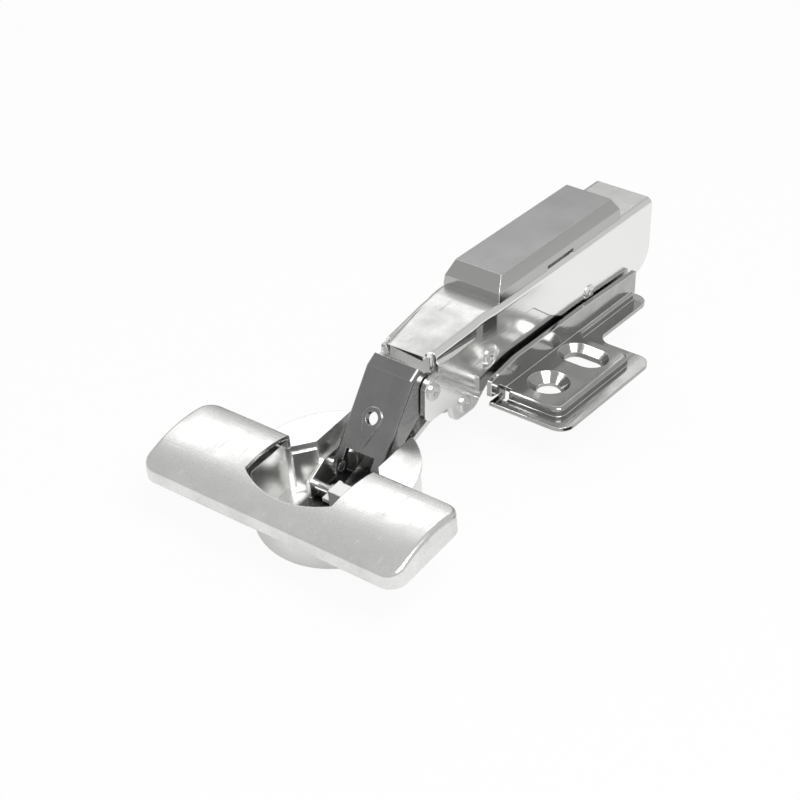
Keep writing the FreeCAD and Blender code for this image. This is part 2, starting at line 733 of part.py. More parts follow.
def hinge_arm():
    """Folded sheet arm, open below, necked in at the front where its two ears hold the links."""
    body = new_body("hinge_arm")
    rear, top, bottom = -S.arm_rear, S.arm_top, S.arm_bottom
    profile = [(rear, bottom), (S.ear_heel, bottom), (S.ear_lobe_rear, S.ear_lobe_bottom),
               (S.ear_lobe_front, S.ear_lobe_bottom), (S.ear_saddle, S.ear_bottom),
               (S.ear_front, S.ear_bottom), (S.ear_front, S.ear_top),
               (S.web_front, S.ear_top), (S.web_front, WEB_FRONT_TOP),
               (S.web_drop_start, top), (rear, top)]
    side_pad(body, profile, 2 * S.arm_half_width)
    trim_start = S.neck_start
    trim_end = trim_start + S.neck_length
    trim = [(trim_start, S.arm_half_width), (trim_end, S.ear_half_width), (FAR, S.ear_half_width),
            (FAR, FAR), (trim_start, FAR)]
    level_pocket(body, [trim, mirrored(trim)], ZERO, FAR)
    soften(body, edges_along(body.Shape, Y_AXIS, [(rear, bottom)]), S.arm_rear_corner)
    soften(body, edges_along(body.Shape, Y_AXIS, [
        (S.ear_lobe_rear, S.ear_lobe_bottom), (S.ear_lobe_front, S.ear_lobe_bottom),
        (S.ear_front, S.ear_bottom), (S.ear_front, S.ear_top)]), S.ear_corner)
    soften(body, edges_along(body.Shape, Y_AXIS, [(S.ear_saddle, S.ear_bottom)]), S.ear_saddle_radius)
    soften(body, edges_along(body.Shape, Y_AXIS, [(S.ear_heel, bottom), (S.web_drop_start, top)]),
           S.ear_heel_radius)

    shoulder = [(trim_start, S.arm_half_width), (S.web_front, S.shoulder_half_width),
                (FAR, S.shoulder_half_width), (FAR, FAR), (trim_start, FAR)]
    shoulder_level = WEB_FRONT_TOP - S.shoulder_height
    level_pocket(body, [shoulder, mirrored(shoulder)], shoulder_level, FAR)
    sketch = new_sketch(body, "XY_Plane", shoulder_level)
    draw_loop(sketch, shoulder)
    draw_loop(sketch, mirrored(shoulder))
    slope = pocket(body, sketch, S.shoulder_bevel)
    slope.TaperAngle = -45
    doc.recompute()
    half_width = S.arm_half_width.value
    ear_half = S.shoulder_half_width.value
    crest = WEB_FRONT_TOP.value

    def is_rear_bend(shape_edge):
        box = shape_edge.BoundBox
        outside = abs(max(abs(box.YMin), abs(box.YMax)) - half_width) < TOUCH
        flat = box.YLength < TOUCH
        return outside and flat and box.ZMin > top.value - TOUCH and box.XLength > TOUCH

    def is_neck_bend(shape_edge):
        box = shape_edge.BoundBox
        outside = max(abs(box.YMin), abs(box.YMax)) > ear_half - TOUCH
        across = box.YLength > 2
        return outside and not across and box.ZMin > crest - TOUCH and box.XLength > TOUCH

    bends = edges_where(body.Shape, lambda item: is_rear_bend(item) or is_neck_bend(item))
    soften(body, bends, S.arm_bend_radius)

    rear_hollow = [(-FAR, -FAR), (trim_start, -FAR), (trim_start, WEB_UNDER), (-FAR, WEB_UNDER)]
    side_pocket(body, rear_hollow, 2 * ARM_INNER)
    ear_space = S.outer_arm_pivot_z + S.link_lobe_radius + S.slide_clearance
    ear_hollow = [(trim_start - S.arm_sheet, -FAR), (FAR, -FAR), (FAR, FAR), (S.web_front, FAR),
                  (S.web_front, ear_space), (trim_start - S.arm_sheet, ear_space)]
    side_pocket(body, ear_hollow, 2 * EAR_INNER)
    front_hollow = [(trim_start - S.arm_sheet, -FAR), (FAR, -FAR), (FAR, WEB_FRONT_UNDER),
                    (S.web_front, WEB_FRONT_UNDER), (S.web_drop_start, WEB_UNDER),
                    (trim_start - S.arm_sheet, WEB_UNDER)]
    side_pocket(body, front_hollow, 2 * (S.shoulder_half_width - S.arm_sheet))
    sketch = new_sketch(body, "XY_Plane", ear_space)
    draw_circle(sketch, S.web_front - S.corner_relief_radius / 2, S.shoulder_half_width,
                S.corner_relief_radius + S.arm_sheet / 2)
    draw_circle(sketch, S.web_front - S.corner_relief_radius / 2, -S.shoulder_half_width,
                S.corner_relief_radius + S.arm_sheet / 2)
    pocket(body, sketch, FAR, reverse=True)
    recess = [(-S.recess_front_x, S.recess_top), (-S.recess_knee_x, S.recess_knee_z),
              (-S.recess_rear_x, S.recess_rear_z), (-S.recess_rear_x, -FAR), (FAR, -FAR),
              (FAR, S.recess_top)]
    for side in (1, -1):
        sketch = new_sketch(body, "XZ_Plane", side * (S.arm_half_width - S.side_recess_depth))
        draw_loop(sketch, recess)
        pocket(body, sketch, S.arm_sheet, reverse=side > 0)
    rivets = [(S.outer_arm_pivot_x, S.outer_arm_pivot_z, S.rivet_radius),
              (S.inner_arm_pivot_x, S.inner_arm_pivot_z, S.rivet_radius),
              (S.spring_pivot_x, S.spring_pivot_z, S.rivet_radius),
              (S.tilt_pivot_x, S.tilt_pivot_z, S.tilt_rivet_radius)]
    side_holes(body, rivets, FAR)
    sketch = new_sketch(body, "XY_Plane")
    draw_circle(sketch, S.overlay_screw_x, ZERO, S.overlay_screw_radius + S.screw_clearance)
    draw_circle(sketch, S.depth_screw_x, ZERO, S.depth_tool_hole_radius)
    pocket(body, sketch, FAR, reverse=True)
    for side in (1, -1):
        sketch = new_sketch(body, "XZ_Plane", side * (S.ear_half_width - S.dimple_depth))
        draw_circle(sketch, S.spring_pivot_x, S.spring_pivot_z, S.dimple_radius)
        pocket(body, sketch, S.arm_sheet, reverse=side > 0)
    return body


def rivet(label, x, z, radius, half_width, head, mark_depth):
    """Headed rivet across the hinge, with a small punch mark in each head."""
    body = new_body(label)
    head_radius = S.rivet_head_radius
    end = half_width + head
    mark_radius = S.rivet_dimple_radius
    profile = [(ZERO, -(end - mark_depth)), (mark_radius, -end), (head_radius - head / 2, -end),
               (head_radius, -(end - head / 2)), (head_radius, -half_width), (radius, -half_width),
               (radius, half_width), (head_radius, half_width), (head_radius, end - head / 2),
               (head_radius - head / 2, end), (mark_radius, end), (ZERO, end - mark_depth)]
    turn(body, profile)
    place(body, x, ZERO, z, ACROSS)
    return body


def pivot_link_outline():
    """Corner points of the outer link seen from the side, from its brow down the web to its foot."""
    lobe = S.link_lobe_radius
    pivot_x, pivot_z = S.outer_arm_pivot_x, S.outer_arm_pivot_z
    foot_x, foot_z, foot = S.outer_cup_pivot_x, S.outer_cup_pivot_z, S.link_foot_radius
    return [(S.link_brow_x, S.link_brow_z), (S.link_web_top_x, S.link_web_top_z),
            (S.link_web_foot_x, S.link_web_foot_z), (foot_x + foot, foot_z),
            (foot_x + foot, foot_z - foot), (foot_x - foot, foot_z - foot),
            (foot_x - foot, foot_z + foot), (S.link_waist_x, S.link_waist_z),
            (pivot_x, pivot_z - lobe), (pivot_x - lobe, pivot_z - lobe), (pivot_x - lobe, pivot_z + lobe),
            (pivot_x, pivot_z + lobe)]


def outer_link():
    """Folded channel link: its web faces the door side and its flanges carry both pivots."""
    body = new_body("outer_link")
    outline = pivot_link_outline()
    side_pad(body, outline, 2 * S.link_half_width)
    soften(body, edges_along(body.Shape, Y_AXIS, [outline[4], outline[5]]),
           S.link_foot_radius - S.running_clearance)
    soften(body, edges_along(body.Shape, Y_AXIS, [outline[9], outline[10]]),
           S.link_lobe_radius - S.running_clearance)
    width = S.link_half_width.value

    def is_web_side(shape_edge):
        box = shape_edge.BoundBox
        side = abs(max(abs(box.YMin), abs(box.YMax)) - width) < TOUCH and box.YLength < TOUCH
        middle = shape_edge.CenterOfMass
        steep = (S.link_web_foot_x.value - S.link_brow_x.value)
        share = (middle.x - S.link_brow_x.value) / steep
        fall = S.link_brow_z.value - share * (S.link_brow_z.value - S.link_web_foot_z.value)
        return side and -TOUCH < share < 1 + TOUCH and abs(middle.z - fall) < 1.0 and middle.z > 1.0

    soften(body, edges_where(body.Shape, is_web_side), S.link_sheet)
    sheet_gap = S.link_sheet
    run_x = S.link_web_foot_x - S.link_web_top_x
    run_z = S.link_web_foot_z - S.link_web_top_z
    run = root(run_x * run_x + run_z * run_z)
    step_x = sheet_gap * run_z / run
    step_z = -(sheet_gap * run_x / run)
    hollow = [(S.link_brow_x - sheet_gap, S.link_brow_z),
              (S.link_brow_x - sheet_gap / 2, S.link_brow_z - sheet_gap),
              (S.link_web_top_x + step_x, S.link_web_top_z + step_z),
              (S.link_web_foot_x + step_x, S.link_web_foot_z + step_z),
              (S.link_web_foot_x + 2 * sheet_gap, S.link_web_foot_z),
              (S.link_web_foot_x + 2 * sheet_gap, -FAR), (ZERO, -FAR), (ZERO, S.link_brow_z)]
    side_pocket(body, hollow, 2 * (S.link_half_width - S.link_sheet))
    along_x, along_z = run_x / run, run_z / run
    start_x = S.link_web_foot_x - S.link_foot_notch * along_x
    start_z = S.link_web_foot_z - S.link_foot_notch * along_z
    reach = 2 * S.link_foot_notch
    notch = [(start_x + reach * along_z, start_z - reach * along_x),
             (start_x + reach * (along_z + along_x), start_z + reach * (along_z - along_x)),
             (start_x + reach * (along_x - along_z), start_z + reach * (along_z + along_x)),
             (start_x - reach * along_z, start_z + reach * along_x)]
    side_pocket(body, notch, 2 * (S.inner_half_width + S.link_notch_gap))
    side_holes(body, [
        (S.outer_arm_pivot_x, S.outer_arm_pivot_z, S.rivet_radius + S.running_clearance),
        (S.outer_cup_pivot_x, S.outer_cup_pivot_z, S.cup_pin_radius + S.running_clearance)], FAR)
    return body


def finished_link(link):
    """Add the pressed teardrop to the link's web and drill its round hole, both square to the web."""
    run_x = S.link_web_foot_x.value - S.link_web_top_x.value
    run_z = S.link_web_foot_z.value - S.link_web_top_z.value
    length = math.hypot(run_x, run_z)
    down = Vector(run_x / length, 0, run_z / length)
    outward = Vector(-run_z / length, 0, run_x / length)
    top = Vector(S.link_web_top_x.value, 0, S.link_web_top_z.value)
    facing = Rotation(down, outward.cross(down), outward, "XYZ")

    outline = doc.addObject("Sketcher::SketchObject", "teardrop_outline")
    outline.Placement = Placement(top, facing)
    big, small = S.teardrop_half_width, S.teardrop_tip_half_width
    web = root((S.link_web_foot_x - S.link_web_top_x) * (S.link_web_foot_x - S.link_web_top_x)
               + (S.link_web_foot_z - S.link_web_top_z) * (S.link_web_foot_z - S.link_web_top_z))
    middle, tip = S.teardrop_hole * web, S.teardrop_tip * web - small
    draw_loop(outline, [(middle, big, (middle - big, ZERO)), (middle, -big),
                        (tip, -small, (tip + small, ZERO)), (tip, small)])
    doc.recompute()
    drop = doc.addObject("Part::Extrusion", "teardrop")
    drop.Base = outline
    drop.DirMode = "Normal"
    drop.Solid = True
    drop.setExpression("LengthFwd", S.teardrop_rise.text)
    drop.setExpression("LengthRev", (S.link_sheet / 2).text)
    pressed = doc.addObject("Part::Fuse", "outer_link_pressed")
    pressed.Base = link
    pressed.Tool = drop
    drill = doc.addObject("Part::Cylinder", "web_drill")
    drill.setExpression("Radius", S.link_hole_radius.text)
    drill.setExpression("Height", (4 * S.link_sheet).text)
    drill.Placement = Placement(top + down * middle.value - outward * 2 * S.link_sheet.value, facing)
    drilled = doc.addObject("Part::Cut", "outer_link_drilled")
    drilled.Base = pressed
    drilled.Tool = drill
    link.Label = "outer_link_blank"
    drilled.Label = "outer_link"
    doc.recompute()
    return drilled


def cup_point(along, up):
    """Place of a point given in the cup's tilted frame, along its short way and up from its face."""
    along, up = as_size(along), as_size(up)
    x = CUP_X + along * cosine(S.cup_tilt) + up * sine(S.cup_tilt)
    z = CUP_Z - along * sine(S.cup_tilt) + up * cosine(S.cup_tilt)
    return x, z


def put_in_cup(body):
    place(body, CUP_X, ZERO, CUP_Z, Rotation(Vector(0, 1, 0), S.cup_tilt.value))
    body.setExpression("Placement.Rotation.Angle", "%s * 1 deg" % S.cup_tilt.text)


def facet_pad(side):
    """Corners of the raised square stamped on a facet, seen from above."""
    first = (-S.drum_centre - S.facet_setback, side * S.channel_half_width)
    last = (-S.drum_centre - S.facet_front_setback, side * S.facet_half_width)
    run_x, run_y = last[0] - first[0], last[1] - first[1]
    run = root(run_x * run_x + run_y * run_y)
    step_x, step_y = run_x / run, run_y / run
    in_x, in_y = side * step_y, -(side * step_x)
    near, far = S.pad_margin, run - S.pad_margin
    corners = []
    for along, inward in ((near, -S.pad_rise), (far, -S.pad_rise), (far, S.pad_rise), (near, S.pad_rise)):
        corners.append((first[0] + along * step_x + inward * in_x, first[1] + along * step_y + inward * in_y))
    return corners


def hinge_cup():
    """Drawn cup with its fixing flange, faceted mouth, stepped entry for the links and pivot cheeks."""
    body = new_body("hinge_cup")
    centre, seat = -S.drum_centre, -S.flange_drop
    sketch = new_sketch(body, "XY_Plane", seat - S.drum_depth)
    draw_circle(sketch, centre, ZERO, S.drum_radius)
    pad(body, sketch, S.drum_depth)
    base = (seat - S.drum_depth).value
    soften(body, edges_where(body.Shape, lambda item: item.CenterOfMass.z < base + TOUCH), 2 * S.cup_sheet)
    sketch = new_sketch(body, "XY_Plane", seat)
    draw_circle(sketch, centre, ZERO, S.rim_radius)
    pad(body, sketch, S.flange_thickness)
    reach = S.cover_half_width - S.cover_wall - S.cover_fit
    length = S.cover_half_length - S.cover_wall - S.cover_fit
    flange = box_corners(-reach, reach, -length, length)
    level_pad(body, [flange], seat, S.flange_thickness)
    soften(body, edges_along(body.Shape, Z_AXIS, flange), S.cover_corner - S.cover_wall)

    inside = S.drum_radius - S.cup_sheet
    mouth, channel, wide = S.mouth_half_width, S.channel_half_width, S.facet_half_width
    facet, facet_front, shoulder = (centre - S.facet_setback, centre - S.facet_front_setback,
                                    centre - S.mouth_rear)
    chord = root(inside * inside - mouth * mouth)
    floor = seat - S.drum_depth + S.cup_sheet
    bowl = [(shoulder, -mouth), (centre + chord, -mouth, (centre + inside, ZERO)),
            (centre + chord, mouth), (shoulder, mouth), (facet_front, wide), (facet, channel),
            (facet, -channel), (facet_front, -wide)]
    level_pocket(body, [bowl], floor, FAR)
    low = floor.value

    def is_bowl_round(shape_edge):
        box = shape_edge.BoundBox
        level = abs(box.ZMin - low) < TOUCH and abs(box.ZMax - low) < TOUCH
        return level and isinstance(shape_edge.Curve, Part.Circle) and abs(
            shape_edge.Curve.Radius - inside.value) < TOUCH

    soften(body, edges_where(body.Shape, is_bowl_round), S.bowl_round)
    level_pad(body, [facet_pad(1), facet_pad(-1)], seat - S.pad_top_gap - S.pad_height, S.pad_height)

    rear = centre - S.rim_radius - S.cup_sheet
    ramp_start, ramp_end = centre - S.channel_ramp_start, centre - S.channel_ramp_end
    brow = seat - S.channel_sill
    entry = [(rear, brow), (ramp_start, brow), (ramp_end, brow - S.channel_ramp_drop), (ramp_end, floor),
             (facet + TOUCH, floor), (facet + TOUCH, FAR), (rear, FAR)]
    side_pocket(body, entry, 2 * channel)
    sill, sill_end = seat - S.slot_sill, centre - S.sill_end
    slot = [(rear, sill), (sill_end, sill), (sill_end + S.sill_slope, floor), (facet, floor), (facet, FAR),
            (rear, FAR)]
    side_pocket(body, slot, 2 * (S.inner_half_width + S.slot_margin))

    hole_line = centre + S.flange_hole_setback
    sketch = new_sketch(body, "XY_Plane", seat)
    draw_circle(sketch, hole_line, S.flange_hole_spacing / 2, S.flange_hole_radius)
    draw_circle(sketch, hole_line, -S.flange_hole_spacing / 2, S.flange_hole_radius)
    pocket(body, sketch, S.flange_thickness * 2, reverse=True)

    margin, front = S.cheek_margin, S.cheek_front
    cheek_in = S.cheek_half_width - S.cheek_thickness
    cheek = [(OUTER_PIN_ALONG - margin, floor - S.cup_sheet / 2),
             (INNER_PIN_ALONG + front, floor - S.cup_sheet / 2),
             (INNER_PIN_ALONG + front, INNER_PIN_UP + front),
             (OUTER_PIN_ALONG + margin, OUTER_PIN_UP + margin),
             (OUTER_PIN_ALONG - margin, OUTER_PIN_UP + margin)]
    for side in (1, -1):
        start = S.cheek_half_width if side < 0 else -cheek_in
        sketch = new_sketch(body, "XZ_Plane", start)
        draw_loop(sketch, cheek)
        pad(body, sketch, S.cheek_thickness, reverse=True)
    sketch = new_sketch(body, "XZ_Plane")
    draw_circle(sketch, OUTER_PIN_ALONG, OUTER_PIN_UP, S.cup_pin_radius)
    draw_circle(sketch, INNER_PIN_ALONG, INNER_PIN_UP, S.cup_pin_radius)
    pocket(body, sketch, 2 * S.cheek_half_width, both_ways=True)
    put_in_cup(body)
    return body


def cup_insert():
    """Bent sheet ledge that stands on the cup's floor ahead of the links."""
    body = new_body("cup_insert")
    floor = -S.flange_drop - S.drum_depth + S.cup_sheet
    rear = INNER_PIN_ALONG + S.insert_rear
    front = rear + S.insert_length
    near, far = S.insert_near, S.insert_near + S.insert_width
    top, sheet_gap = floor + S.insert_level, S.insert_sheet
    level_pad(body, [box_corners(rear, front, near, far)], top - sheet_gap, sheet_gap)
    level_pad(body, [box_corners(front - sheet_gap, front, near, far)], floor, top - floor)
    level_pad(body, [box_corners(front - sheet_gap, front + 2 * sheet_gap, near, far)], floor, sheet_gap)
    tab_rear = front - S.insert_tab_length - sheet_gap
    tab_top = top - S.insert_tab_drop
    level_pad(body, [box_corners(tab_rear, front - sheet_gap, near, near + sheet_gap)], tab_top,
              S.insert_tab_drop)
    level_pad(body, [box_corners(tab_rear, front - sheet_gap, near - S.insert_tab_width, near + sheet_gap)],
              tab_top - sheet_gap, sheet_gap)
    put_in_cup(body)
    return body


def cover_block(label, inset):
    """Solid block with the cover's arched shape, smaller all round by an inset."""
    body = new_body(label)
    half, length = S.cover_half_width - inset, S.cover_half_length - inset
    rise, crown = S.cover_back_rise, S.cover_crown
    skirt = -(S.flange_drop - S.cover_seat_gap) - inset
    side_pad(body, [(half, skirt), (half, -inset, (ZERO, rise / 2 + crown - inset)),
                    (-half, rise - inset), (-half, skirt)], 2 * length)
    ends = [(half, -length), (half, length), (-half, -length), (-half, length)]
    soften(body, edges_along(body.Shape, Z_AXIS, ends), S.cover_corner - inset)
    low = skirt.value

    def is_brim(shape_edge):
        return shape_edge.BoundBox.ZMin > low + TOUCH and shape_edge.BoundBox.ZLength < 4

    soften(body, edges_where(body.Shape, is_brim), S.cover_edge - inset)
    return body


def cup_cover():
    """Arched pressed cover over the cup's flange, notched where the links swing."""
    body = cover_block("cover_outside", ZERO)
    half, wall = S.cover_half_width, S.cover_wall
    bottom = -S.flange_drop - wall
    notch, reach = S.notch_half_width, S.notch_reach
    opening = [(-half - wall, -notch), (reach, -notch, (reach + S.notch_bow, ZERO)), (reach, notch),
               (-half - wall, notch)]
    level_pocket(body, [opening], bottom, FAR)
    sketch = new_sketch(body, "XY_Plane", bottom)
    draw_circle(sketch, -S.drum_centre, ZERO, S.rim_radius + S.rim_gap)
    pocket(body, sketch, wall + S.flange_thickness + S.rim_gap, reverse=True)
    hollow = cover_block("cover_inside", wall)
    shell = doc.addObject("Part::Cut", "cup_cover")
    shell.Base = body
    shell.Tool = hollow
    shell.Label = "cup_cover"
    put_in_cup(shell)
    doc.recompute()
    return shell


def outer_cup_pins():
    """Two short pins, one in each cheek, on which the outer link turns in the cup."""
    inner_end = S.link_half_width - S.link_sheet
    outer_end = S.cheek_half_width
    halves = []
    for side in (1, -1):
        pin_body = new_body("outer_cup_pin_%s" % ("right" if side > 0 else "left"))
        profile = [(ZERO, inner_end), (S.cup_pin_radius, inner_end), (S.cup_pin_radius, outer_end),
                   (ZERO, outer_end)]
        turn(pin_body, profile)
        turned = Rotation(Vector(1, 0, 0), -90 * side)
        place(pin_body, S.outer_cup_pivot_x, ZERO, S.outer_cup_pivot_z, turned)
        halves.append(pin_body)
    pair = doc.addObject("Part::Compound", "outer_cup_pins")
    pair.Label = "outer_cup_pins"
    pair.Links = halves
    doc.recompute()
    return pair


def inner_cup_pin():
    """Plain pin across the cup on which the inner link turns."""
    body = new_body("inner_cup_pin")
    end = S.cheek_half_width
    turn(body, [(ZERO, -end), (S.cup_pin_radius, -end), (S.cup_pin_radius, end), (ZERO, end)])
    place(body, INNER_CUP_PIVOT_X, ZERO, INNER_CUP_PIVOT_Z, ACROSS)
    return body


def capsule(first, last, radius):
    """Outline of a straight bar with round ends, from one point to another."""
    run_x, run_z = last[0] - first[0], last[1] - first[1]
    run = root(run_x * run_x + run_z * run_z)
    side_x, side_z = -(run_z / run) * radius, (run_x / run) * radius
    ahead_x, ahead_z = (run_x / run) * radius, (run_z / run) * radius
    return [(first[0] - side_x, first[1] - side_z),
            (last[0] - side_x, last[1] - side_z, (last[0] + ahead_x, last[1] + ahead_z)),
            (last[0] + side_x, last[1] + side_z),
            (first[0] + side_x, first[1] + side_z, (first[0] - ahead_x, first[1] - ahead_z))]


def inner_link():
    """Goose-neck link: a close eye on the cup's pin and a wide eye around the arm's rivet."""
    body = new_body("inner_link")
    arm_end = (S.inner_arm_pivot_x, S.inner_arm_pivot_z)
    cup_end = (INNER_CUP_PIVOT_X, INNER_CUP_PIVOT_Z)
    half = S.inner_thickness / 2
    throat = cup_point(INNER_PIN_ALONG - S.inner_throat_back, INNER_PIN_UP - S.inner_throat_drop)
    neck = cup_point(INNER_PIN_ALONG - S.inner_neck_back, INNER_PIN_UP - S.inner_neck_drop)
    side_pad(body, capsule(arm_end, neck, half), 2 * S.inner_half_width)
    side_pad(body, capsule(neck, throat, half), 2 * S.inner_half_width)
    side_pad(body, capsule(throat, cup_end, half), 2 * S.inner_half_width)
    for place_x, place_z, radius in ((arm_end[0], arm_end[1], S.inner_open_radius + S.inner_open_wall),
                                     (cup_end[0], cup_end[1], S.inner_eye_radius)):
        sketch = new_sketch(body, "XZ_Plane")
        draw_circle(sketch, place_x, place_z, radius)
        pad(body, sketch, 2 * S.inner_half_width, both_ways=True)
    side_holes(body, [(arm_end[0], arm_end[1], S.inner_open_radius),
                      (cup_end[0], cup_end[1], S.cup_pin_radius + S.running_clearance)], FAR)
    return body


def wedge(name, low, high, bottom, top, end_inset, side_inset):
    """Block that narrows upwards by one inset at its two ends and another on its two sides."""
    block = doc.addObject("Part::Wedge", name)
    ends = {"Xmin": low[0], "Xmax": high[0], "Zmin": low[1], "Zmax": high[1], "Ymin": bottom, "Ymax": top,
            "X2min": low[0] + end_inset, "X2max": high[0] - end_inset,
            "Z2min": low[1] + side_inset, "Z2max": high[1] - side_inset}
    for key, size in ends.items():
        block.setExpression(key, as_size(size).text)
    block.Placement = Placement(Vector(0, 0, 0), Rotation(Vector(1, 0, 0), 90))
    return block


def arm_cover_cap():
    """Pressed cap over the arm's adjusting screws, with slanted sides and a lever slot."""
    low, high = (-S.cap_rear, -S.cap_half_width), (S.cap_front, S.cap_half_width)
    waist_low = (low[0] + S.cap_waist_inset, low[1] + S.cap_waist_inset)
    waist_high = (high[0] - S.cap_waist_inset, high[1] - S.cap_waist_inset)
    waist = CAP_BOTTOM + S.cap_waist_height
    base = wedge("cap_base", low, high, CAP_BOTTOM, waist, S.cap_waist_inset, S.cap_waist_inset)
    crest = wedge("cap_crest", waist_low, waist_high, waist, CAP_TOP,
                  S.cap_end_inset - S.cap_waist_inset, S.cap_top_inset - S.cap_waist_inset)
    wall = S.cap_wall
    hollow_low = (low[0] + wall, low[1] + wall)
    hollow_high = (high[0] - wall, high[1] - wall)
    hollow = wedge("cap_hollow", hollow_low, hollow_high, CAP_BOTTOM - wall, CAP_TOP - wall,
                   S.cap_end_inset, S.cap_top_inset)
    slot = doc.addObject("Part::Box", "cap_slot")
    slot.setExpression("Length", S.cap_slot_length.text)
    slot.setExpression("Width", (2 * wall).text)
    slot.setExpression("Height", (S.cap_slot_height + wall).text)
    slot.setExpression("Placement.Base.x", (-(S.cap_slot_start + S.cap_slot_length)).text)
    slot.setExpression("Placement.Base.y", (S.cap_half_width - wall).text)
    slot.setExpression("Placement.Base.z", (CAP_BOTTOM - wall).text)
    outside = doc.addObject("Part::MultiFuse", "cap_outside")
    outside.Shapes = [base, crest]
    inside = doc.addObject("Part::MultiFuse", "cap_inside")
    inside.Shapes = [hollow, slot]
    shell = doc.addObject("Part::Cut", "arm_cover_cap")
    shell.Base = outside
    shell.Tool = inside
    shell.Label = "arm_cover_cap"
    doc.recompute()
    return shell


def cross_recess(body, top):
    """Crossed driver recess sunk from the top of a screw head."""
    half_long, half_wide = S.recess_length / 2, S.recess_width / 2
    level_pocket(body, [box_corners(-half_long, half_long, -half_wide, half_wide)],
                 top - S.recess_depth, FAR)
    level_pocket(body, [box_corners(-half_wide, half_wide, -half_long, half_long)],
                 top - S.recess_depth, FAR)


def overlay_screw():
    """Screw through the arm's web whose foot is held by the bracket and sets the arm's height."""
    body = new_body("overlay_screw")
    foot_bottom = BRACKET_FLOOR_TOP + S.slide_clearance
    foot_top = foot_bottom + S.overlay_foot_height
    neck_bottom = BRACKET_FLOOR + S.slide_clearance
    thread_bottom = foot_top + S.overlay_neck_height
    top = S.arm_top - S.recess_depth / 2 + S.overlay_head_height
    neck, foot, thread = S.overlay_neck_radius, S.overlay_foot_radius, S.overlay_screw_radius
    turn(body, [(ZERO, neck_bottom), (neck, neck_bottom), (neck, foot_bottom), (foot, foot_bottom),
                (foot, foot_top), (neck, foot_top), (neck, thread_bottom), (thread, thread_bottom),
                (thread, top), (ZERO, top)])
    cross_recess(body, top)
    place(body, S.overlay_screw_x, ZERO, ZERO)
    return body


def depth_screw():
    """Short screw that clamps the bracket on the plate and shifts it for depth."""
    body = new_body("depth_screw")
    head_bottom = BRACKET_FLOOR_TOP + S.running_clearance
    head_top = head_bottom + S.depth_head_height
    bottom = S.slide_clearance
    shank, head = S.depth_shank_radius, S.depth_head_radius
    turn(body, [(ZERO, bottom), (shank, bottom), (shank, head_bottom), (head, head_bottom),
                (head, head_top), (ZERO, head_top)])
    cross_recess(body, head_top)
    place(body, S.depth_screw_x, ZERO, ZERO)
    return body


def damper_parts():
    """Closing damper under the arm's web: barrel, end plug, and the rod with its piston and head."""
    axis_z, radius, wall = S.damper_axis_z, S.damper_radius, S.damper_wall
    bore = radius - wall
    length = S.damper_rear + S.damper_front
    barrel = new_body("damper_cylinder")
    turn(barrel, [(ZERO, ZERO), (radius, ZERO), (radius, length), (bore, length),
                  (bore, S.damper_end_wall), (ZERO, S.damper_end_wall)])
    plug = new_body("damper_end_cap")
    rod = S.damper_rod_radius
    turn(plug, [(rod + S.running_clearance, length - S.damper_plug_length),
                (bore, length - S.damper_plug_length), (bore, length),
                (rod + S.running_clearance, length)])
    stem = new_body("damper_rod")
    piston_start = S.damper_end_wall + S.damper_stroke + S.slide_clearance
    piston_end = piston_start + S.piston_length
    head_start = length + S.damper_rod_reach
    piston = bore - S.piston_clearance
    turn(stem, [(ZERO, piston_start), (piston, piston_start), (piston, piston_end), (rod, piston_end),
                (rod, head_start), (S.damper_head_radius, head_start),
                (S.damper_head_radius, head_start + S.damper_head_length),
                (ZERO, head_start + S.damper_head_length)])
    for body in (barrel, plug, stem):
        place(body, -S.damper_rear, ZERO, axis_z, FORWARD)
    housing = new_body("damper_housing")
    block = [(-S.housing_rear, S.housing_bottom), (S.housing_front, S.housing_bottom),
             (S.housing_front, WEB_UNDER), (-S.housing_rear, WEB_UNDER)]
    side_pad(housing, block, 2 * (EAR_INNER - S.slide_clearance))
    sketch = new_sketch(housing, "YZ_Plane", -S.housing_rear)
    draw_circle(sketch, ZERO, axis_z, radius + S.running_clearance)
    pocket(housing, sketch, S.housing_rear + S.housing_front, reverse=True)
    return [barrel, plug, stem, housing]


def closing_spring():
    """Torsion spring wound round the middle rivet, one leg back and one leg forward."""
    wire = S.spring_wire.value
    coil_radius = (S.rivet_radius + S.spring_clearance + S.spring_wire / 2).value
    turns = S.spring_turns.value
    height = turns * S.spring_pitch.value
    helix = Part.makeHelix(S.spring_pitch.value, height, coil_radius)
    helix.Placement = Placement(Vector(0, 0, -height / 2), Rotation())
    path = Part.Wire(helix.Edges)
    start = path.Edges[0].valueAt(path.Edges[0].FirstParameter)
    heading = path.Edges[0].tangentAt(path.Edges[0].FirstParameter)
    section = Part.Wire([Part.makeCircle(wire / 2, start, heading)])
    coil = path.makePipeShell([section], True, True)
    leg_length = S.spring_leg_length.value
    finish = path.Edges[-1].valueAt(path.Edges[-1].LastParameter)
    onward = path.Edges[-1].tangentAt(path.Edges[-1].LastParameter)
    first_leg = Part.makeCylinder(wire / 2, leg_length, start, heading * -1)
    last_leg = Part.makeCylinder(wire / 2, leg_length, finish, onward)
    shape = coil.fuse([first_leg, last_leg]).removeSplitter()
    feature = doc.addObject("Part::Feature", "closing_spring")
    feature.Label = "closing_spring"
    feature.Shape = shape
    feature.Placement = Placement(Vector(S.spring_pivot_x.value, 0, S.spring_pivot_z.value),
                                  ACROSS.multiply(Rotation(Vector(0, 0, 1), 90)))
    return feature


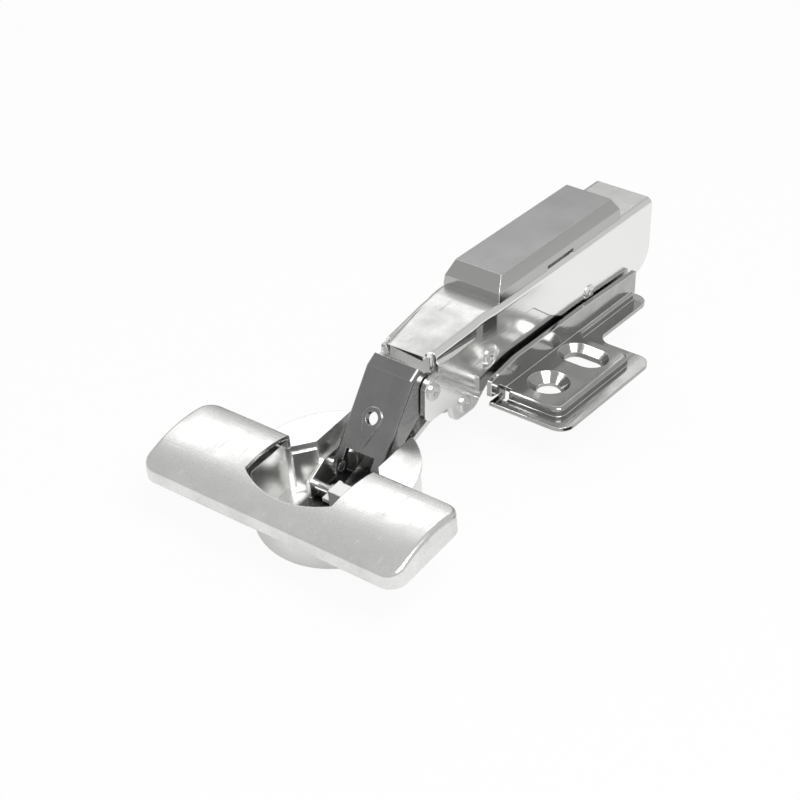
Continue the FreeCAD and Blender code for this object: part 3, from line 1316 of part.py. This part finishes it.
plate = mounting_plate()
plate_cut_for_depth_screw(plate)
pieces = [plate, adapter_bracket(), hinge_arm(), arm_cover_cap(), finished_link(outer_link()), inner_link(),
          hinge_cup(), cup_insert(), cup_cover(), outer_cup_pins(), inner_cup_pin(),
          overlay_screw(), depth_screw(),
          rivet("outer_link_rivet", S.outer_arm_pivot_x, S.outer_arm_pivot_z, S.rivet_radius,
                S.ear_half_width, S.rivet_head_height, S.rivet_dimple_depth),
          rivet("inner_link_rivet", S.inner_arm_pivot_x, S.inner_arm_pivot_z, S.rivet_radius,
                S.ear_half_width, S.rivet_head_height, S.rivet_dimple_depth),
          rivet("spring_rivet", S.spring_pivot_x, S.spring_pivot_z, S.rivet_radius,
                S.ear_half_width - S.dimple_depth, S.rivet_head_height, S.rivet_dimple_depth),
          rivet("arm_tilt_rivet", S.tilt_pivot_x, S.tilt_pivot_z, S.tilt_rivet_radius,
                S.arm_half_width, S.tilt_head_height, S.tilt_dimple_depth)]
pieces += damper_parts()
pieces.append(closing_spring())

doc.recompute()
for thing in doc.Objects:
    if "Invalid" in thing.State or "Error" in thing.State:
        raise RuntimeError("%s failed: %s" % (thing.Label, thing.State))
for piece in pieces:
    if piece.Shape.isNull() or not piece.Shape.isValid():
        raise RuntimeError("%s has no valid shape" % piece.Label)

os.makedirs("parts", exist_ok=True)
for piece in pieces:
    piece.Shape.exportStep("parts/%s.step" % piece.Label)
    print("%-20s solids %d volume %.1f" % (piece.Label, len(piece.Shape.Solids), piece.Shape.Volume))
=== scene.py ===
import sys
import logging
import math
from dataclasses import dataclass
from enum import Enum
from typing import Dict, Sequence, Tuple, Union

import bpy
from mathutils import Matrix, Vector


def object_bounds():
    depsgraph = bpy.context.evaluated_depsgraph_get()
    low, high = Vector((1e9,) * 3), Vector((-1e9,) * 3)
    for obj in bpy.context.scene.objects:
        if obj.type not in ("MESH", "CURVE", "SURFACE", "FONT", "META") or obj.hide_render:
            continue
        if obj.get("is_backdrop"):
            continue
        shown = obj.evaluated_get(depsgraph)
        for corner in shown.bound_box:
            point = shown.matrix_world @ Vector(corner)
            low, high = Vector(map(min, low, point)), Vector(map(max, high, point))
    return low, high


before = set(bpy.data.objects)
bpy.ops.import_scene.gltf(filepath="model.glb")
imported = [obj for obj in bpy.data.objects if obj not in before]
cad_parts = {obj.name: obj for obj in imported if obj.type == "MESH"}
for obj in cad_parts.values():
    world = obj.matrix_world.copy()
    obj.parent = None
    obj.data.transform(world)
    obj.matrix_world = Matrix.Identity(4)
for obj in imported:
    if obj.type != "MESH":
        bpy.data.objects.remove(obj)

LOG = logging.getLogger("concealed_hinge")
LOG.setLevel(logging.INFO)
LOG.addHandler(logging.StreamHandler(sys.stdout))

MM = 0.001
Colour = Tuple[float, float, float]
Point = Tuple[float, float, float]
Band = Tuple[float, float]
Socket = bpy.types.NodeSocket
Feed = Union[float, Tuple[float, ...], Socket]

SCRATCH_ANGLES = (0.35, 1.25, 2.2)
SCRATCH_TILT = (0.3, 0.2)
SCRATCH_STRETCH = (0.035, 1.0, 1.0)
SCRATCH_BAND: Band = (0.66, 0.74)
CLOUD_BAND: Band = (0.32, 0.68)
SPECK_BAND: Band = (0.62, 0.72)
SPECK_FINENESS = 22.0
BEVEL_SAMPLES = 6
EDGE_BAND: Band = (0.995, 0.90)
LEVEL_BAND: Band = (0.88, 0.97)
FULL_BAND: Band = (0.0, 1.0)

SOFT_SHARE = 0.45
SPECK_SHARE = 0.35
SCRATCH_ROUGHENS = 0.25
SCRATCH_HEIGHT = -0.6
BUMP_DISTANCE = 0.1 * MM
LEAST_ROUGHNESS = 0.02
WHITE: Colour = (1.0, 1.0, 1.0)
# Edge colour: partly worn bright metal, partly a painted highlight along the rims.
WORN_AND_HIGHLIT_EDGE: Colour = (0.96, 0.96, 0.95)
# Painted shade for the deep recess of the cup, and how softly it fades in height and to the sides.
PIT_SHADE: Colour = (0.06, 0.06, 0.06)
PIT_FADE = 1.0 * MM
PIT_SIDE_FADE = 1.5 * MM

HINGE_MIDDLE: Point = (0.015, 0.0, 0.005)
FLOOR_GAP = 0.2 * MM


def opaque(colour: Colour) -> Tuple[float, ...]:
    """Give a colour its full opacity."""
    return (*colour, 1.0)


class GrainRun(Enum):
    """Way along which a brushed or rolled surface shows its lines."""

    ALONG_X = (0.06, 1.0, 1.0)
    ALONG_Y = (1.0, 0.06, 1.0)
    ALONG_Z = (1.0, 1.0, 0.06)
    EVEN = (1.0, 1.0, 1.0)


class Wiring:
    """Adds nodes to one shader tree and joins them."""

    def __init__(self, tree: bpy.types.NodeTree) -> None:
        """Take the tree to build in.

        Args:
            tree: The shader tree.
        """
        self.nodes = tree.nodes
        self.links = tree.links

    def add(self, kind: str, **settings: object) -> bpy.types.Node:
        """Add a node.

        Args:
            kind: Type name of the node.
            **settings: Properties that the node gets.

        Returns:
            The new node.
        """
        node = self.nodes.new(kind)
        for name, value in settings.items():
            setattr(node, name, value)
        return node

    def feed(self, socket: Socket, source: Feed) -> None:
        """Link a socket to its source, or give it a plain value.

        Args:
            socket: Socket that takes the source.
            source: An output socket, a number or a row of numbers.
        """
        if isinstance(source, Socket):
            self.links.new(source, socket)
        else:
            socket.default_value = source

    def work_out(self, operation: str, *sources: Feed) -> Socket:
        """Add a maths node.

        Args:
            operation: What it does.
            *sources: Its inputs in order.

        Returns:
            The socket of the result.
        """
        node = self.add("ShaderNodeMath", operation=operation)
        for socket, source in zip(node.inputs, sources):
            self.feed(socket, source)
        return node.outputs["Value"]

    def ramp(self, value: Feed, band: Band, low: Feed = 0.0, high: Feed = 1.0) -> Socket:
        """Spread a band of values over the range from low to high.

        Args:
            value: The value to spread.
            band: Values that come out as low and as high.
            low: Lower end of the result.
            high: Upper end of the result.

        Returns:
            The socket of the result.
        """
        node = self.add("ShaderNodeMapRange")
        feeds = {"Value": value, "From Min": band[0], "From Max": band[1], "To Min": low, "To Max": high}
        for name, source in feeds.items():
            self.feed(node.inputs[name], source)
        return node.outputs["Result"]

    def blend(self, share: Feed, first: Feed, second: Feed) -> Socket:
        """Mix two colours.

        Args:
            share: How much of the second colour shows.
            first: The first colour.
            second: The second colour.

        Returns:
            The socket of the mixed colour.
        """
        node = self.add("ShaderNodeMix", data_type="RGBA")
        for index, source in ((0, share), (6, first), (7, second)):
            self.feed(node.inputs[index], source)
        return node.outputs[2]

    def noise(self, vector: Socket, scale: Feed, detail: float, roughness: float = 0.5) -> Socket:
        """Add a noise texture.

        Args:
            vector: Where the texture is read.
            scale: How fine it is.
            detail: How many finer layers it has.
            roughness: How strong the finer layers are.

        Returns:
            The socket of its value.
        """
        node = self.add("ShaderNodeTexNoise")
        feeds = {"Vector": vector, "Scale": scale, "Detail": detail, "Roughness": roughness}
        for name, source in feeds.items():
            self.feed(node.inputs[name], source)
        return node.outputs["Fac"]

    def split(self, vector: Socket) -> bpy.types.NodeOutputs:
        """Part a vector into its three values."""
        node = self.add("ShaderNodeSeparateXYZ")
        self.feed(node.inputs["Vector"], vector)
        return node.outputs

    def place_group(self, tree: bpy.types.NodeTree, **feeds: Feed) -> bpy.types.NodeOutputs:
        """Place a shared group.

        Args:
            tree: The group's tree.
            **feeds: What its inputs get.

        Returns:
            The outputs of the placed group.
        """
        node = self.add("ShaderNodeGroup", node_tree=tree)
        for name, source in feeds.items():
            self.feed(node.inputs[name], source)
        return node.outputs


class Shelf:
    """Shared shader node groups, each built once."""

    def __init__(self) -> None:
        """Build the groups that the finishes share."""
        self.scratches = self._scratches()
        self.grain = self._grain()
        self.clouds = self._clouds()
        self.edges = self._edges()

    @staticmethod
    def _new_group(name: str, inputs: Sequence[Tuple[str, str, object]],
                   outputs: Sequence[Tuple[str, str]]) -> bpy.types.NodeTree:
        """Make an empty shader group.

        Args:
            name: Name of the group.
            inputs: Socket name, socket type and default of each input.
            outputs: Socket name and socket type of each output.

        Returns:
            The new node tree with its two end nodes.
        """
        tree = bpy.data.node_groups.new(name, "ShaderNodeTree")
        for label, kind, value in inputs:
            socket = tree.interface.new_socket(name=label, in_out="INPUT", socket_type=kind)
            if value is not None:
                socket.default_value = value
        for label, kind in outputs:
            tree.interface.new_socket(name=label, in_out="OUTPUT", socket_type=kind)
        tree.nodes.new("NodeGroupInput")
        tree.nodes.new("NodeGroupOutput")
        return tree

    def _scratches(self) -> bpy.types.NodeTree:
        """Build a mask of thin straight scratches that cross at several angles.

        Returns:
            The node group.
        """
        tree = self._new_group(
            "hairline_scratches",
            [("Vector", "NodeSocketVector", None), ("Scale", "NodeSocketFloat", 900.0),
             ("Amount", "NodeSocketFloat", 0.3)],
            [("Mask", "NodeSocketFloat")])
        wiring = Wiring(tree)
        entry = tree.nodes["Group Input"].outputs
        marks = None
        for index, angle in enumerate(SCRATCH_ANGLES):
            turn = wiring.add("ShaderNodeMapping")
            feeds = {"Vector": entry["Vector"], "Scale": SCRATCH_STRETCH,
                     "Rotation": (SCRATCH_TILT[0] * index, SCRATCH_TILT[1] * index, angle)}
            for name, source in feeds.items():
                wiring.feed(turn.inputs[name], source)
            noise = wiring.noise(turn.outputs["Vector"], entry["Scale"], detail=2.0, roughness=0.6)
            cut = wiring.ramp(noise, SCRATCH_BAND)
            marks = cut if marks is None else wiring.work_out("MAXIMUM", marks, cut)
        wiring.feed(tree.nodes["Group Output"].inputs["Mask"],
                    wiring.work_out("MULTIPLY", marks, entry["Amount"]))
        return tree

    def _grain(self) -> bpy.types.NodeTree:
        """Build the fine parallel lines that rolling or brushing leaves.

        Returns:
            The node group.
        """
        tree = self._new_group(
            "rolled_grain",
            [("Vector", "NodeSocketVector", None), ("Stretch", "NodeSocketVector", None),
             ("Scale", "NodeSocketFloat", 2600.0)],
            [("Height", "NodeSocketFloat")])
        wiring = Wiring(tree)
        entry = tree.nodes["Group Input"].outputs
        spread = wiring.add("ShaderNodeVectorMath", operation="MULTIPLY")
        wiring.feed(spread.inputs[0], entry["Vector"])
        wiring.feed(spread.inputs[1], entry["Stretch"])
        wiring.feed(tree.nodes["Group Output"].inputs["Height"],
                    wiring.noise(spread.outputs["Vector"], entry["Scale"], detail=3.0))
        return tree

    def _clouds(self) -> bpy.types.NodeTree:
        """Build the soft handling marks and dull patches of plated sheet.

        Returns:
            The node group.
        """
        tree = self._new_group(
            "handling_clouds",
            [("Vector", "NodeSocketVector", None), ("Scale", "NodeSocketFloat", 140.0)],
            [("Soft", "NodeSocketFloat"), ("Speck", "NodeSocketFloat")])
        wiring = Wiring(tree)
        entry, leave = tree.nodes["Group Input"].outputs, tree.nodes["Group Output"].inputs
        broad = wiring.noise(entry["Vector"], entry["Scale"], detail=4.0, roughness=0.55)
        wiring.feed(leave["Soft"], wiring.ramp(broad, CLOUD_BAND))
        finer = wiring.work_out("MULTIPLY", entry["Scale"], SPECK_FINENESS)
        speck = wiring.noise(entry["Vector"], finer, detail=1.0)
        wiring.feed(leave["Speck"], wiring.ramp(speck, SPECK_BAND))
        return tree

    def _edges(self) -> bpy.types.NodeTree:
        """Build the rounded edges of pressed sheet, with a mask that lightens them partly as real wear
        and partly as painted highlight.

        Returns:
            The node group.
        """
        tree = self._new_group(
            "worn_and_highlit_edges",
            [("Radius", "NodeSocketFloat", 0.25 * MM)],
            [("Mask", "NodeSocketFloat"), ("Normal", "NodeSocketVector")])
        wiring = Wiring(tree)
        entry, leave = tree.nodes["Group Input"].outputs, tree.nodes["Group Output"].inputs
        rounded = wiring.add("ShaderNodeBevel", samples=BEVEL_SAMPLES)
        wiring.feed(rounded.inputs["Radius"], entry["Radius"])
        shape = wiring.add("ShaderNodeNewGeometry")
        agree = wiring.add("ShaderNodeVectorMath", operation="DOT_PRODUCT")
        wiring.feed(agree.inputs[0], rounded.outputs["Normal"])
        wiring.feed(agree.inputs[1], shape.outputs["Normal"])
        wiring.feed(leave["Mask"], wiring.ramp(agree.outputs["Value"], EDGE_BAND))
        wiring.feed(leave["Normal"], rounded.outputs["Normal"])
        return tree


@dataclass(frozen=True)
class MetalFinish:
    """A plated metal surface with its grain, scratches and dull patches.

    Attributes:
        name: Name of the material.
        tint: Colour of the clean surface.
        shade: Colour of the dull patches.
        roughness: Mean roughness.
        roughness_spread: How far the roughness strays from its mean.
        grain: Way along which the lines run.
        grain_depth: Strength of the lines' relief.
        scratch_amount: How strongly scratches show.
        metallic: Share of metal.
        edge_wear_and_highlight: How brightly the edges are lightened, partly as wear and partly as
            painted highlight.
        painted_slope_light: Painted light: colour of the leaning sides, lighter or darker than the level
            ground to match how the lamps fall on them, where they differ.
        slope_roughness: Roughness of the leaning sides, or nought where they don't differ.
        pit_level: Height below which level ground gets painted shade for the cup's deep recess, or nought
            for none.
        pit_half_width: Half the width of that painted shade.
    """

    name: str
    tint: Colour
    shade: Colour
    roughness: float
    roughness_spread: float
    grain: GrainRun = GrainRun.EVEN
    grain_depth: float = 0.05
    scratch_amount: float = 0.3
    metallic: float = 1.0
    edge_wear_and_highlight: float = 0.7
    painted_slope_light: Colour = (0.0, 0.0, 0.0)
    slope_roughness: float = 0.0
    pit_level: float = 0.0
    pit_half_width: float = 8.0 * MM

    def build(self, shelf: Shelf) -> bpy.types.Material:
        """Make the material.

        Args:
            shelf: The shared node groups.

        Returns:
            The finished material.
        """
        material = bpy.data.materials.new(self.name)
        material.use_nodes = True
        wiring = Wiring(material.node_tree)
        surface = wiring.nodes["Principled BSDF"].inputs
        surface["Metallic"].default_value = self.metallic
        place = wiring.add("ShaderNodeTexCoord").outputs
        marks = wiring.place_group(shelf.scratches, Vector=place["Object"], Amount=self.scratch_amount)
        lines = wiring.place_group(shelf.grain, Vector=place["Object"], Stretch=self.grain.value)
        patches = wiring.place_group(shelf.clouds, Vector=place["Object"])
        rims = wiring.place_group(shelf.edges)

        dots = wiring.work_out("MULTIPLY", patches["Speck"], SPECK_SHARE)
        dull = wiring.work_out("MULTIPLY_ADD", patches["Soft"], SOFT_SHARE, dots)
        colour = wiring.blend(dull, opaque(self.tint), opaque(self.shade))
        mean = wiring.ramp(patches["Soft"], FULL_BAND,
                           low=max(LEAST_ROUGHNESS, self.roughness - self.roughness_spread),
                           high=self.roughness + self.roughness_spread)
        rough = wiring.work_out("MULTIPLY_ADD", marks["Mask"], SCRATCH_ROUGHENS, mean)
        if self.slope_roughness:
            # Painted light: leaning sides take their own lit colour, and level ground keeps the tint.
            level = wiring.ramp(wiring.split(place["Normal"])["Z"], LEVEL_BAND)
            colour = wiring.blend(level, opaque(self.painted_slope_light), self._shade_pit(wiring, place, colour))
            rough = wiring.ramp(level, FULL_BAND, low=self.slope_roughness, high=rough)
        # Edges lightened in colour: partly wear, partly painted highlight.
        shine = wiring.work_out("MULTIPLY", rims["Mask"], self.edge_wear_and_highlight)
        wiring.feed(surface["Base Color"], wiring.blend(shine, colour, opaque(WORN_AND_HIGHLIT_EDGE)))
        wiring.feed(surface["Roughness"], rough)

        relief = wiring.work_out("MULTIPLY_ADD", marks["Mask"], SCRATCH_HEIGHT, lines["Height"])
        bump = wiring.add("ShaderNodeBump")
        feeds = {"Strength": self.grain_depth, "Distance": BUMP_DISTANCE, "Height": relief,
                 "Normal": rims["Normal"]}
        for name, source in feeds.items():
            wiring.feed(bump.inputs[name], source)
        wiring.feed(surface["Normal"], bump.outputs["Normal"])
        return material

    def _shade_pit(self, wiring: Wiring, place: bpy.types.NodeOutputs, colour: Socket) -> Socket:
        """Paint shade on the level ground deep in a piece's recess, where there is any.

        Args:
            wiring: Wiring of the material.
            place: The piece's own coordinates.
            colour: The level colour.

        Returns:
            The level colour, with painted shade below the pit's level.
        """
        if not self.pit_level:
            return colour
        spot = wiring.split(place["Object"])
        above = wiring.ramp(spot["Z"], (self.pit_level - PIT_FADE, self.pit_level + PIT_FADE))
        beside = wiring.ramp(wiring.work_out("ABSOLUTE", spot["Y"]),
                             (self.pit_half_width, self.pit_half_width + PIT_SIDE_FADE))
        return wiring.blend(wiring.work_out("MAXIMUM", above, beside), opaque(PIT_SHADE), colour)


POLISHED = MetalFinish("polished_nickel", (0.80, 0.80, 0.79), (0.62, 0.62, 0.61), 0.13, 0.06,
                       GrainRun.ALONG_X, 0.05, 0.35)
# The arm's leaning sides get painted light.
ARM = MetalFinish("bright_arm_nickel", (0.74, 0.74, 0.73), (0.42, 0.42, 0.42), 0.34, 0.08,
                  GrainRun.ALONG_X, 0.14, 0.6, painted_slope_light=(0.93, 0.93, 0.92), slope_roughness=0.16)
COVER = MetalFinish("bright_cover_nickel", (0.88, 0.88, 0.87), (0.58, 0.58, 0.57), 0.25, 0.08,
                    GrainRun.ALONG_Y, 0.12, 0.6)
# Painted reflection: the insert's pale, near-white tint stands in for the bright reflection on its top.
PALE_SHEET_PAINTED_REFLECTION = MetalFinish("pale_bent_sheet_painted_reflection", (0.96, 0.96, 0.95), (0.88, 0.88, 0.87), 0.55, 0.06,
                         GrainRun.EVEN, 0.06, 0.2)
PLATE = MetalFinish("pressed_plate_nickel", (0.50, 0.50, 0.49), (0.30, 0.30, 0.30), 0.12, 0.05,
                    GrainRun.ALONG_X, 0.10, 0.5, edge_wear_and_highlight=1.0)
SATIN = MetalFinish("satin_nickel", (0.78, 0.78, 0.77), (0.60, 0.60, 0.59), 0.30, 0.07,
                    GrainRun.ALONG_Y, 0.12, 0.5)
# The cup's leaning sides get painted light.
# The cup's level ground below pit_level gets painted shade for its deep recess.
CUP_BRIGHT = MetalFinish("bright_cup_nickel", (0.93, 0.93, 0.92), (0.74, 0.74, 0.73), 0.22, 0.07,
                         GrainRun.EVEN, 0.05, 0.3, painted_slope_light=(0.95, 0.95, 0.94), slope_roughness=0.30,
                         pit_level=-4.0 * MM)
DARK_LINK = MetalFinish("dark_satin_link", (0.30, 0.30, 0.30), (0.20, 0.20, 0.20), 0.24, 0.07,
                        GrainRun.ALONG_Z, 0.10, 0.5)
# The cap's leaning sides get painted light.
CAP_GREY = MetalFinish("satin_cap_grey", (0.42, 0.42, 0.42), (0.36, 0.36, 0.36), 0.34, 0.04,
                       GrainRun.ALONG_X, 0.08, 0.3, painted_slope_light=(0.50, 0.50, 0.49), slope_roughness=0.10)
RIVET = MetalFinish("rivet_steel", (0.76, 0.76, 0.75), (0.55, 0.55, 0.54), 0.20, 0.06,
                    GrainRun.EVEN, 0.06, 0.3)
ZINC = MetalFinish("zinc_screw", (0.62, 0.63, 0.62), (0.45, 0.46, 0.46), 0.32, 0.08,
                   GrainRun.EVEN, 0.10, 0.4)
SPRING = MetalFinish("oiled_spring_wire", (0.30, 0.30, 0.30), (0.16, 0.16, 0.16), 0.28, 0.06,
                     GrainRun.EVEN, 0.06, 0.3)
TUBE = MetalFinish("drawn_tube", (0.74, 0.74, 0.75), (0.58, 0.58, 0.59), 0.24, 0.05,
                   GrainRun.ALONG_X, 0.08, 0.3)
PLASTIC = MetalFinish("moulded_plastic", (0.055, 0.055, 0.06), (0.03, 0.03, 0.034), 0.46, 0.08,
                      GrainRun.EVEN, 0.15, 0.2, metallic=0.0)

NODE_FINISHES: Dict[str, MetalFinish] = {
    "mounting_plate": PLATE, "adapter_bracket": SATIN, "hinge_arm": ARM, "arm_cover_cap": CAP_GREY,
    "outer_link": DARK_LINK, "inner_link": POLISHED,
    "hinge_cup": CUP_BRIGHT, "cup_insert": PALE_SHEET_PAINTED_REFLECTION, "cup_cover": COVER,
    "outer_cup_pins": RIVET, "inner_cup_pin": RIVET, "outer_link_rivet": RIVET,
    "inner_link_rivet": RIVET, "spring_rivet": RIVET, "arm_tilt_rivet": RIVET,
    "overlay_screw": ZINC, "depth_screw": ZINC, "closing_spring": SPRING,
    "damper_cylinder": TUBE, "damper_rod": TUBE, "damper_end_cap": PLASTIC, "damper_housing": PLASTIC,
}


@dataclass(frozen=True)
class Panel:
    """A rectangular lamp or card of the studio.

    Attributes:
        name: Name of its object.
        spot: Its middle; from the floor up where it lies on the floor.
        size: Its two sides.
        level: Power in watts of a lamp, lightness of a card.
        target: The point that it faces.
        on_floor: Whether its height counts from the floor.
    """

    name: str
    spot: Point
    size: Tuple[float, float]
    level: float
    target: Point = HINGE_MIDDLE
    on_floor: bool = False

    def stand(self, thing: bpy.types.Object, floor_height: float) -> None:
        """Put the panel's object in its place, facing the target.

        Args:
            thing: The object.
            floor_height: Height of the floor's surface.
        """
        lift = floor_height if self.on_floor else 0.0
        spot = Vector((self.spot[0], self.spot[1], self.spot[2] + lift))
        thing.location = spot
        thing.rotation_euler = (spot - Vector(self.target)).to_track_quat("Z", "Y").to_euler()


LAMPS = (
    Panel("key_lamp", (0.20, 0.35, 0.60), (0.40, 0.40), 3.0),
    Panel("back_lamp", (-0.38, -0.46, 0.58), (0.70, 0.36), 0.75),
)
CARDS = (
    Panel("floor_side_card", (-0.015, 0.062, 0.5 * MM), (0.08, 0.045), 0.02, (-0.015, 0.062, 0.5), True),
    Panel("horizon_card", (-0.40, -0.20, 0.12), (0.7, 0.10), 0.03),
)


@dataclass
class Studio:
    """Camera, floor, lamps, cards and white surroundings.

    Attributes:
        azimuth: Compass direction of the camera, in degrees.
        elevation: Its height over the horizon, in degrees.
        roll: Its roll, in degrees.
        focal_px: Its focal length, in pixels of a picture frame_px wide.
        frame_px: Width of that picture, in pixels.
        distance: How far back it stands from the origin.
        shift_right: How far it then moves to its right.
        shift_up: How far it then moves up.
        sensor: Width of its sensor, in millimetres.
        clip_start: How near to it things still show.
        floor_side: Side of the square floor.
        floor_grey: Lightness of the floor.
        floor_roughness: Roughness of the floor.
        floor_white: Share of plain white that the camera sees in the floor.
        world_white: Share of plain white that the camera sees in the surroundings.
        mirrored_white: Share of plain white that mirrors see in both.
        world_strength: Strength of the light of the surroundings.
    """

    azimuth: float = 127.01
    elevation: float = 32.80
    roll: float = -0.25
    focal_px: float = 2076.71
    frame_px: float = 800.0
    distance: float = 456.8 * MM
    shift_right: float = -19.29 * MM
    shift_up: float = -6.59 * MM
    sensor: float = 36.0
    clip_start: float = 0.01
    floor_side: float = 6.0
    floor_grey: float = 0.9
    floor_roughness: float = 0.9
    floor_white: float = 0.93
    world_white: float = 1.0
    mirrored_white: float = 0.25
    world_strength: float = 0.45

    def axes(self) -> Tuple[Vector, Vector, Vector]:
        """Work out the camera's right, up and back directions.

        Returns:
            The three unit vectors.
        """
        turn, rise, roll = (math.radians(value) for value in (self.azimuth, self.elevation, self.roll))
        back = Vector((math.sin(turn) * math.cos(rise), -math.cos(turn) * math.cos(rise), math.sin(rise)))
        level = Vector((math.cos(turn), math.sin(turn), 0.0))
        upright = back.cross(level)
        right = level * math.cos(roll) + upright * math.sin(roll)
        upward = upright * math.cos(roll) - level * math.sin(roll)
        return right, upward, back

    def add_camera(self) -> None:
        """Place the camera at the photograph's point of view."""
        right, upward, back = self.axes()
        data = bpy.data.cameras.new("camera")
        data.sensor_width = self.sensor
        data.lens = self.focal_px * self.sensor / self.frame_px
        data.clip_start = self.clip_start
        camera = bpy.data.objects.new("camera", data)
        matrix = Matrix((right, upward, back)).transposed().to_4x4()
        matrix.translation = back * self.distance + right * self.shift_right + upward * self.shift_up
        camera.matrix_world = matrix
        bpy.context.collection.objects.link(camera)
        bpy.context.scene.camera = camera

    def add_lamp(self, panel: Panel, floor_height: float) -> None:
        """Add a soft rectangular lamp.

        Args:
            panel: Its name, place and power.
            floor_height: Height of the floor's surface.
        """
        data = bpy.data.lights.new(panel.name, "AREA")
        data.shape = "RECTANGLE"
        data.size, data.size_y = panel.size
        data.energy = panel.level
        lamp = bpy.data.objects.new(panel.name, data)
        panel.stand(lamp, floor_height)
        bpy.context.collection.objects.link(lamp)

    def add_card(self, panel: Panel, floor_height: float) -> None:
        """Add a dark studio card that only the polished metal mirrors.

        Args:
            panel: Its name, place and lightness.
            floor_height: Height of the floor's surface.
        """
        bpy.ops.object.select_all(action="DESELECT")
        bpy.ops.mesh.primitive_plane_add(size=1.0)
        card = bpy.context.active_object
        card.name = panel.name
        card.scale = (*panel.size, 1.0)
        panel.stand(card, floor_height)
        card.visible_camera = False
        card.visible_shadow = False
        card.visible_diffuse = False
        material = bpy.data.materials.new(panel.name)
        material.use_nodes = True
        surface = material.node_tree.nodes["Principled BSDF"].inputs
        surface["Base Color"].default_value = opaque((panel.level,) * 3)
        surface["Roughness"].default_value = 1.0
        surface["Specular IOR Level"].default_value = 0.0
        card.data.materials.append(material)
        card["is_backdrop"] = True

    def add_floor(self, height: float) -> None:
        """Lay the pale floor under the hinge.

        Args:
            height: Height of the floor's surface.
        """
        bpy.ops.object.select_all(action="DESELECT")
        bpy.ops.mesh.primitive_plane_add(size=self.floor_side, location=(0.0, 0.0, height))
        floor = bpy.context.active_object
        floor.name = "floor"
        material = bpy.data.materials.new("pale_floor")
        material.use_nodes = True
        wiring = Wiring(material.node_tree)
        surface = wiring.nodes["Principled BSDF"]
        surface.inputs["Base Color"].default_value = opaque((self.floor_grey,) * 3)
        surface.inputs["Roughness"].default_value = self.floor_roughness
        self._show_white(wiring, surface.outputs[0], wiring.nodes["Material Output"].inputs["Surface"],
                         self.floor_white)
        floor.data.materials.append(material)
        floor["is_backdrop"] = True

    def add_world(self) -> None:
        """Surround the stage with plain soft white."""
        world = bpy.data.worlds.new("soft_white")
        bpy.context.scene.world = world
        world.use_nodes = True
        wiring = Wiring(world.node_tree)
        soft = wiring.nodes["Background"]
        soft.inputs["Color"].default_value = opaque(WHITE)
        soft.inputs["Strength"].default_value = self.world_strength
        self._show_white(wiring, soft.outputs[0], wiring.nodes["World Output"].inputs["Surface"],
                         self.world_white)

    def _show_white(self, wiring: Wiring, other: Socket, goal: Socket, share: float) -> None:
        """Mix plain white into what camera, glass and mirror rays see.

        Args:
            wiring: Wiring of the tree.
            other: Shader that all other rays see.
            goal: Socket that takes the mix.
            share: How much of the white the camera sees.
        """
        path = wiring.add("ShaderNodeLightPath").outputs
        direct = wiring.work_out("MAXIMUM", path["Is Camera Ray"], path["Is Transmission Ray"])
        seen = wiring.work_out("MULTIPLY", direct, share)
        portion = wiring.work_out("MULTIPLY_ADD", path["Is Glossy Ray"], self.mirrored_white, seen)
        white = wiring.add("ShaderNodeEmission")
        white.inputs["Color"].default_value = opaque(WHITE)
        mix = wiring.add("ShaderNodeMixShader")
        for index, source in enumerate((portion, other, white.outputs[0])):
            wiring.feed(mix.inputs[index], source)
        wiring.feed(goal, mix.outputs[0])

    def build(self, floor_height: float) -> None:
        """Set up the whole stage.

        Args:
            floor_height: Height of the floor's surface.
        """
        self.add_camera()
        self.add_world()
        self.add_floor(floor_height)
        for panel in LAMPS:
            self.add_lamp(panel, floor_height)
        for panel in CARDS:
            self.add_card(panel, floor_height)
        bpy.context.scene.view_settings.view_transform = "Standard"


@dataclass
class DressedHinge:
    """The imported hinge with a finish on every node."""

    shelf: Shelf

    def dress(self) -> None:
        """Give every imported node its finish."""
        built: Dict[str, bpy.types.Material] = {}
        for name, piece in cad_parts.items():
            finish = NODE_FINISHES[name]
            if finish.name not in built:
                built[finish.name] = finish.build(self.shelf)
            piece.data.materials.clear()
            piece.data.materials.append(built[finish.name])
            LOG.info("dressed %s in %s", name, finish.name)


def main() -> None:
    """Dress the hinge and set its stage."""
    start_box = [list(corner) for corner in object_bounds()]
    DressedHinge(Shelf()).dress()
    Studio().build(start_box[0][2] - FLOOR_GAP)


if __name__ == "__main__":
    main()
